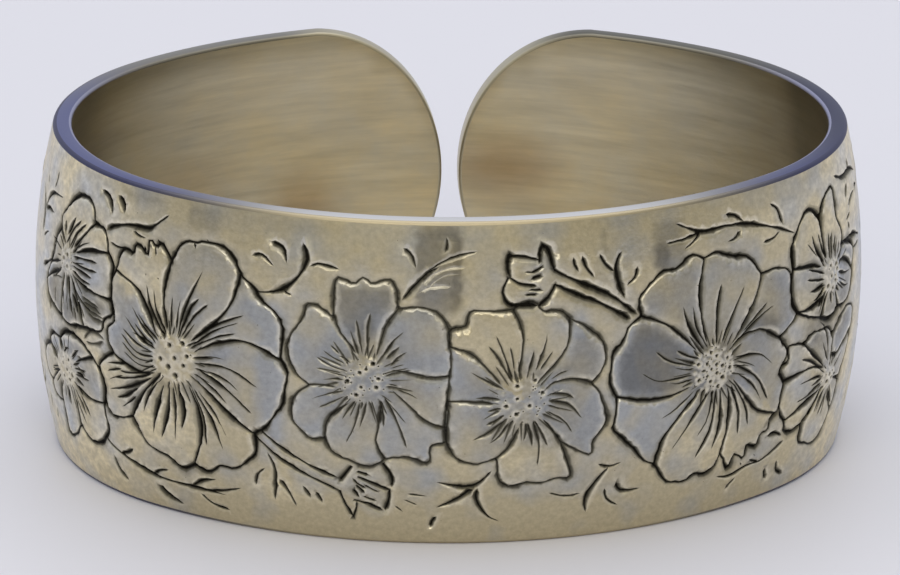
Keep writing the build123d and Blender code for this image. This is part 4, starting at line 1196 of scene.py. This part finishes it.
print("steepest slope of the engraving", np.abs(slopes).max().round(2))

# %% Numbers for the materials to read
strip_map = blank.uv_layers.new(name="strip")
strip_map.data.foreach_set("uv", (flat[loop_vertex, :2] * MM).ravel())


def store(name, values):
    """Keep one number for each point, for a material to read."""
    blank.attributes.new(name, "FLOAT", "POINT").data.foreach_set("value", values)


run = np.abs(flat[:, 0])            # from the middle of the front, along the strip
across = on_oval(flat[:, 0])[0]     # from the middle, to the right
side_x = np.abs(across)
marks = np.zeros((len(flat), 2))
marks[on_outside] = ink_and_ridge
marks[on_outside, 1] += bumps_at(places)[:, 1]
tints = petal_tints(flat[:, :2])
highlight_patches = clouds_at(flat[:, :2], PAINTED_HIGHLIGHTS)
# on the engraved face
store("ink", marks[:, 0])
# painted highlight along the ridges and on the beads
store("ridge", marks[:, 1])
# painted sheen: lighter on the sides of the front, less towards the back, and in the painted highlight
# patches
store("painted_sheen", rise(run, 22, 36) * (1 - 0.8 * rise(run, 40, 52)) + highlight_patches)
# painted dark reflections, and the darker ground round the flower middles
store("darkening", clouds_at(flat[:, :2], PAINTED_DARK_PATCHES) + tints[:, 0])
# painted cool reflections, from the chart and the petals, less where the painted highlights are
store("cool_reflection", clouds_at(flat[:, :2], COOL_REFLECTIONS) + tints[:, 1] - 0.5 * highlight_patches)
# on the rim and the edges, painted reflections and shade: violet on the sides, darker on the right, a
# painted highlight in front, a changed tone near the tips
store("violet_reflection", rise(run, 14, 30) * (1 - rise(run, 46, 64)))
store("tip", rise(run, strip_half_length - 13, strip_half_length - 7))
store("inner_edge", rise(-flat[:, 2], 0.5, 1.0))
store("right", rise(flat[:, 0], 20, 40))
store("front", 1 - rise(run, 8, 26))
# on the inside
store("browned", clouds_at(flat[:, :2], BROWNED_INSIDE))
# painted highlight towards the top of the inside
store("top_highlight", rise(flat[:, 1], 1, 12))
# painted shade where the inside curves round at the sides
store("bend_shade", 0.75 * rise(side_x, 16, 31) + 0.25 * rise(across, 28.2, 29.6)
      + 0.25 * rise(-across, 24, 31))
blank.update()
print("stored:", ", ".join(a.name for a in blank.attributes if a.data_type == "FLOAT"))

# %% [markdown]
# ## Materials
#
# The cuff is sterling silver with a satin finish. Silver has no colour of its own beyond a warm
# tint, and its look comes from what it mirrors, blurred by fine scratches. The engraved face was
# darkened all over and wiped, so a black oxide stays down in the grooves. Each pattern's scale is
# worked out from the size of its patches in millimetres.

# %% What every silver starts from
def silver_material(name):
    """Empty this material's tree and put a metal shader in it."""
    material = bpy.data.materials[name]
    material.use_nodes = True
    tree = material.node_tree
    tree.nodes.clear()
    shader = add_node(tree, "ShaderNodeBsdfPrincipled", {"Metallic": 1.0})
    add_node(tree, "ShaderNodeOutputMaterial", {"Surface": shader.outputs["BSDF"]})
    return tree, shader


def pattern_scale(millimetres):
    """Scale of a noise with patches of this size, on coordinates in metres."""
    return 1 / (millimetres * MM)


blotch_size = 3.125         # where wiping left the silver cooler or warmer
sheen_spot_size = 0.909            # spots in the painted sheen on the sides of the cuff
freckle_size = 0.4545
grain_size = 0.2778         # coarser than a real satin grain of 0.05 mm, which wouldn't show
grain_depth = 0.05
print("scale of the blotches", pattern_scale(blotch_size))

# %% Engraved face, the metal
# Satin silver, darkened and wiped, is a warm tone with cool grey blotches at random, with painted cool
# reflections and a painted sheen on top.
tree, shader = silver_material("engraved_satin_silver")
strip = add_node(tree, "ShaderNodeUVMap", uv_map="strip").outputs["UV"]
ink, ridge, darkening, cool_reflection, painted_sheen = [
    add_node(tree, "ShaderNodeAttribute", attribute_name=n).outputs["Fac"]
    for n in ("ink", "ridge", "darkening", "cool_reflection", "painted_sheen")]
blotches = add_node(tree, "ShaderNodeTexNoise", {
    "Vector": strip, "Scale": pattern_scale(blotch_size), "Detail": 2.0, "Roughness": 0.35})
# random cool blotches and the painted cool reflections together turn the metal cooler grey
cool_share = add_node(tree, "ShaderNodeMath", {0: blotches.outputs["Fac"], 1: 3.0, 2: cool_reflection},
                    operation="MULTIPLY_ADD")
cool_share = add_node(tree, "ShaderNodeMapRange", {
    "Value": cool_share.outputs[0], "From Min": 1.15, "From Max": 2.5})
metal = add_node(tree, "ShaderNodeMix", {
    "Factor": cool_share.outputs["Result"], "A": linear(satin_silver), "B": linear("#ABADAD")},
    data_type="RGBA")
# painted sheen: the metal is lightened on the sides and in the highlight patches, unevenly in spots
spots = add_node(tree, "ShaderNodeTexNoise", {
    "Vector": strip, "Scale": pattern_scale(sheen_spot_size), "Detail": 2.0})
spots = add_node(tree, "ShaderNodeMapRange", {
    "Value": spots.outputs["Fac"], "From Min": 0.38, "From Max": 0.68, "To Min": 0.2, "To Max": 0.48})
sheen_gain = add_node(tree, "ShaderNodeMath", {0: painted_sheen, 1: spots.outputs["Result"], 2: 1.0},
                operation="MULTIPLY_ADD").outputs[0]
metal = add_node(tree, "ShaderNodeVectorMath", {0: metal.outputs["Result"], "Scale": sheen_gain},
                 operation="SCALE")
print("engraved face, metal:", len(tree.nodes), "nodes")

# %% Engraved face, painted dark reflections and ridge highlights
# Painted dark reflections darken the flat of some petals and a few patches of the band, the ground
# round the flower middles is darker, and a painted highlight lies along the ridges beside the grooves.
# the painted dark reflections and the darker ground round the middles pull the metal towards near
# black
dark_share = add_node(tree, "ShaderNodeMapRange", {"Value": darkening, "To Max": 0.55})
darkened_metal = add_node(tree, "ShaderNodeMix", {
    "Factor": dark_share.outputs["Result"], "A": metal.outputs["Vector"], "B": linear("#212223")},
    data_type="RGBA")
# painted highlight along the ridges, brighter where the painted sheen is
ridge_highlight = add_node(tree, "ShaderNodeMath", {0: ridge, 1: sheen_gain}, operation="MULTIPLY")
ridge_highlight = add_node(tree, "ShaderNodeMapRange", {"Value": ridge_highlight.outputs[0], "To Max": 0.6})
ridged = add_node(tree, "ShaderNodeMix", {
    "Factor": ridge_highlight.outputs["Result"], "A": darkened_metal.outputs["Result"], "B": linear("#F3ECD8")},
    data_type="RGBA")
freckles = add_node(tree, "ShaderNodeTexNoise", {
    "Vector": strip, "Scale": pattern_scale(freckle_size), "Detail": 3.0, "Roughness": 0.65})
freckles = add_node(tree, "ShaderNodeMapRange", {
    "Value": freckles.outputs["Fac"], "From Min": 0.3, "From Max": 0.7, "To Min": 0.87,
    "To Max": 1.1})
freckled = add_node(tree, "ShaderNodeVectorMath", {
    0: ridged.outputs["Result"], "Scale": freckles.outputs["Result"]}, operation="SCALE")
print("with film and ridges:", len(tree.nodes), "nodes")

# %% Engraved face, the black grooves and the grain
# The oxide is brown grey on a groove's walls, black at its bottom, and rougher than the metal.
grey = add_node(tree, "ShaderNodeMapRange", {
    "Value": ink, "From Min": 0.08, "From Max": 0.5, "To Max": 0.9})
greyed = add_node(tree, "ShaderNodeMix", {
    "Factor": grey.outputs["Result"], "A": freckled.outputs["Vector"], "B": linear("#5F5C50")},
    data_type="RGBA")
deep = add_node(tree, "ShaderNodeMapRange", {"Value": ink, "From Min": 0.55, "From Max": 0.9})
blackened = add_node(tree, "ShaderNodeMix", {
    "Factor": deep.outputs["Result"], "A": greyed.outputs["Result"], "B": linear("#211F1A")},
    data_type="RGBA")
tree.links.new(blackened.outputs["Result"], shader.inputs["Base Color"])
rough = add_node(tree, "ShaderNodeMapRange", {
    "Value": ink, "From Max": 0.5, "To Min": 0.32, "To Max": 0.62})
tree.links.new(rough.outputs["Result"], shader.inputs["Roughness"])
grain = add_node(tree, "ShaderNodeTexNoise", {
    "Vector": strip, "Scale": pattern_scale(grain_size), "Detail": 3.0})
bump = add_node(tree, "ShaderNodeBump", {
    "Height": grain.outputs["Fac"], "Strength": 0.35, "Distance": grain_depth * MM})
tree.links.new(bump.outputs["Normal"], shader.inputs["Normal"])
print("engraved face:", len(tree.nodes), "nodes")

# %% Brush lines, and layers of colour
brush_size = 0.3846         # between the lines, coarser than real brushing, which wouldn't show
brush_stretch = 0.06        # the lines are this much shorter across than along the strip


def brushing(tree, shader, roughness):
    """Fine lines along the strip, and the map that other patterns are drawn on."""
    strip = add_node(tree, "ShaderNodeUVMap", uv_map="strip").outputs["UV"]
    drawn = add_node(tree, "ShaderNodeMapping", {"Vector": strip, "Scale": (brush_stretch, 1.0, 1.0)})
    lines = add_node(tree, "ShaderNodeTexNoise", {
        "Vector": drawn.outputs["Vector"], "Scale": pattern_scale(brush_size), "Detail": 4.0})
    bump = add_node(tree, "ShaderNodeBump", {
        "Height": lines.outputs["Fac"], "Strength": 0.2, "Distance": grain_depth * MM})
    tree.links.new(bump.outputs["Normal"], shader.inputs["Normal"])
    shader.inputs["Roughness"].default_value = roughness
    return strip, lines.outputs["Fac"]


def layered(tree, colour, layers):
    """A colour with layers over it. A layer is the mesh attribute that says where it lies, how much
    of the colour it covers there, and its own colour, as a hex value or another node's output."""
    colour = linear(colour) if isinstance(colour, str) else colour
    for name, cover, tint in layers:
        place = add_node(tree, "ShaderNodeAttribute", attribute_name=name).outputs["Fac"]
        share = add_node(tree, "ShaderNodeMapRange", {"Value": place, "To Max": cover})
        tint = linear(tint) if isinstance(tint, str) else tint
        colour = add_node(tree, "ShaderNodeMix", {"Factor": share.outputs["Result"], "A": colour,
                                                  "B": tint}, data_type="RGBA").outputs["Result"]
    return colour


print("scale of the brush lines", round(pattern_scale(brush_size)))

# %% Inside
# The brushed inside is a soft yellow drawn out in lines, with a painted highlight towards its top
# and painted shade where it curves away.
cloud_size, smear_size = 6.25, 1.25
smear_stretch = 0.14
tree, shader = silver_material("brushed_inside_silver")
strip, lines = brushing(tree, shader, 0.36)
cloud = add_node(tree, "ShaderNodeTexNoise", {
    "Vector": strip, "Scale": pattern_scale(cloud_size), "Detail": 5.0, "Roughness": 0.6})
cloud = add_node(tree, "ShaderNodeMapRange", {
    "Value": cloud.outputs["Fac"], "From Min": 0.35, "From Max": 0.65})
yellowed = add_node(tree, "ShaderNodeMix", {
    "Factor": cloud.outputs["Result"], "A": linear("#E3D3A9"), "B": linear("#DBD2B6")},
    data_type="RGBA")
# painted highlight towards the top, brown patches, and painted shade at the bends
inside_tones = layered(tree, yellowed.outputs["Result"], (
    ("top_highlight", 0.4, "#E6DFC9"), ("browned", 0.7, "#AE9168"), ("bend_shade", 0.82, "#3A3731")))
streaks = add_node(tree, "ShaderNodeMapRange", {
    "Value": lines, "From Min": 0.3, "From Max": 0.7, "To Min": 0.95, "To Max": 1.04})
streaked = add_node(tree, "ShaderNodeVectorMath", {0: inside_tones, "Scale": streaks.outputs["Result"]},
                    operation="SCALE")
drawn = add_node(tree, "ShaderNodeMapping", {"Vector": strip, "Scale": (smear_stretch, 1.0, 1.0)})
smears = add_node(tree, "ShaderNodeTexNoise", {
    "Vector": drawn.outputs["Vector"], "Scale": pattern_scale(smear_size), "Detail": 4.0,
    "Roughness": 0.6})
smears = add_node(tree, "ShaderNodeMapRange", {
    "Value": smears.outputs["Fac"], "From Min": 0.3, "From Max": 0.7, "To Min": 0.88, "To Max": 1.1})
smeared = add_node(tree, "ShaderNodeVectorMath", {
    0: streaked.outputs["Vector"], "Scale": smears.outputs["Result"]}, operation="SCALE")
tree.links.new(smeared.outputs["Vector"], shader.inputs["Base Color"])
print("inside:", len(tree.nodes), "nodes")

# %% Rim and edges
# The filed rim has a painted highlight as a pale line in front, painted violet grey reflections along
# the sides, painted shade on the right, and a painted tone near the tips.
tree, shader = silver_material("filed_rim_silver")
brushing(tree, shader, 0.34)
# painted violet reflection for the sides of the rim, with painted shade on the right
sides = layered(tree, "#636791", (("right", 1, "#3A3C5A"),))
rim_colour = layered(tree, "#8D897F", (
    ("right", 1, "#6C695C"), ("front", 1, "#E6E4E0"), ("tip", 1, "#C2B99E"), ("violet_reflection", 1, sides)))
tree.links.new(rim_colour, shader.inputs["Base Color"])
print("rim:", len(tree.nodes), "nodes")

# The burnished edges are a soft, slightly duller line on both sides of the rim, with a painted
# highlight in front, brightest on the inner edge, and painted violet reflections on the sides.
tree, shader = silver_material("burnished_edge_silver")
brushing(tree, shader, 0.45)
# painted highlight in front, painted violet reflections on the sides, and a painted tone near the tips
outer = layered(tree, "#8B877B", (
    ("front", 1, "#BDB195"), ("violet_reflection", 1, "#50516A"), ("tip", 1, "#7D7A71")))
inner = layered(tree, "#8B877B", (
    ("front", 1, "#D9D6D0"), ("violet_reflection", 1, "#A3A4BC"), ("tip", 1, "#CFC7AF")))
edge_colour = layered(tree, outer, (("inner_edge", 1, inner),))
tree.links.new(edge_colour, shader.inputs["Base Color"])
print("edges:", len(tree.nodes), "nodes")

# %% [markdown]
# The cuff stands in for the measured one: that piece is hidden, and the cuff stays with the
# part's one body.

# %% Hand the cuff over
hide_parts("cuff")
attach(cuff, "root")
print(cuff.name, "stands in for the measured cuff")

# %% [markdown]
# ## Floor, light and camera
#
# The cuff stands on a pale table in soft light. The camera looks down by 20 degrees from almost
# half a metre away through a long lens, which keeps the oval nearly free of perspective.

# %% Floor
# A matt laminate gives the eye an even, slightly blue white with a soft shadow on it.
bpy.ops.object.select_all(action="DESELECT")
bpy.ops.mesh.primitive_plane_add(size=6.0, location=(0, 0, 0))
floor = bpy.context.object
floor.name = "pale_table"
floor_paint = bpy.data.materials.new("matt_table_laminate")
floor_paint.use_nodes = True
paint = floor_paint.node_tree.nodes["Principled BSDF"]
paint.inputs["Base Color"].default_value = linear("#E4E5F0")
paint.inputs["Roughness"].default_value = 0.55
floor.data.materials.append(floor_paint)
print("table", round(floor.dimensions.x, 1), "metres wide")

# %% Walls of the studio
# They are cool and pale behind the cuff and warmer and dimmer on the camera's side.
world = bpy.data.worlds.new("studio")
bpy.context.scene.world = world
world.use_nodes = True
studio = world.node_tree
toward = add_node(studio, "ShaderNodeTexCoord").outputs["Generated"]
toward = add_node(studio, "ShaderNodeSeparateXYZ", {"Vector": toward})
behind = add_node(studio, "ShaderNodeMapRange", {
    "Value": toward.outputs["Y"], "From Min": -0.6, "From Max": 0.5})
walls = add_node(studio, "ShaderNodeMix", {
    "Factor": behind.outputs["Result"], "A": linear("#BDB8A8"), "B": linear("#E2E6F2")},
    data_type="RGBA")
backdrop = studio.nodes["Background"]
studio.links.new(walls.outputs["Result"], backdrop.inputs["Color"])
backdrop.inputs["Strength"].default_value = 0.85
bpy.context.scene.view_settings.view_transform = "Standard"
print("studio walls:", len(studio.nodes), "nodes")


# %% Lamps
def softbox(name, place, width, height, watts, colour):
    """A soft rectangular lamp that shines at the cuff."""
    light = bpy.data.lights.new(name, "AREA")
    light.shape, light.size, light.size_y = "RECTANGLE", width, height
    light.energy, light.color = watts, linear(colour)[:3]
    lamp = bpy.data.objects.new(name, light)
    bpy.context.collection.objects.link(lamp)
    lamp.location = place
    lamp.rotation_euler = (-Vector(place)).to_track_quat("-Z", "Y").to_euler()
    print(name, "lamp of", watts, "watts,", round(Vector(place).length, 2), "metres away")


softbox("overhead", (0.0, 0.1, 1.0), 1.2, 1.2, 4.4, "#FFFCF6")
softbox("front", (-0.15, -0.85, 0.6), 1.1, 0.6, 3.0, "#FFFDF8")

# %% Camera
# Its place, its line of sight and its lens were fitted to the outline of the rims.
pixel_width = 900
focal_pixels = 5976.5
camera_data = bpy.data.cameras.new("camera")
camera_data.sensor_width = 36.0
camera_data.lens = focal_pixels * camera_data.sensor_width / pixel_width
camera_data.clip_start, camera_data.clip_end = 0.01, 20.0
camera = bpy.data.objects.new("camera", camera_data)
bpy.context.collection.objects.link(camera)
camera.location = Vector((-41.66, -441.34, 173.13)) * MM
sight = Vector((0.08849, 0.93541, -0.34232))
roll = radians(0.70)
camera.rotation_euler = (sight.to_track_quat("-Z", "Y").to_matrix()
                         @ Matrix.Rotation(roll, 3, "Z")).to_euler()
bpy.context.scene.camera = camera
print("lens", round(camera_data.lens, 1), "mm, looking", [round(s, 3) for s in sight])
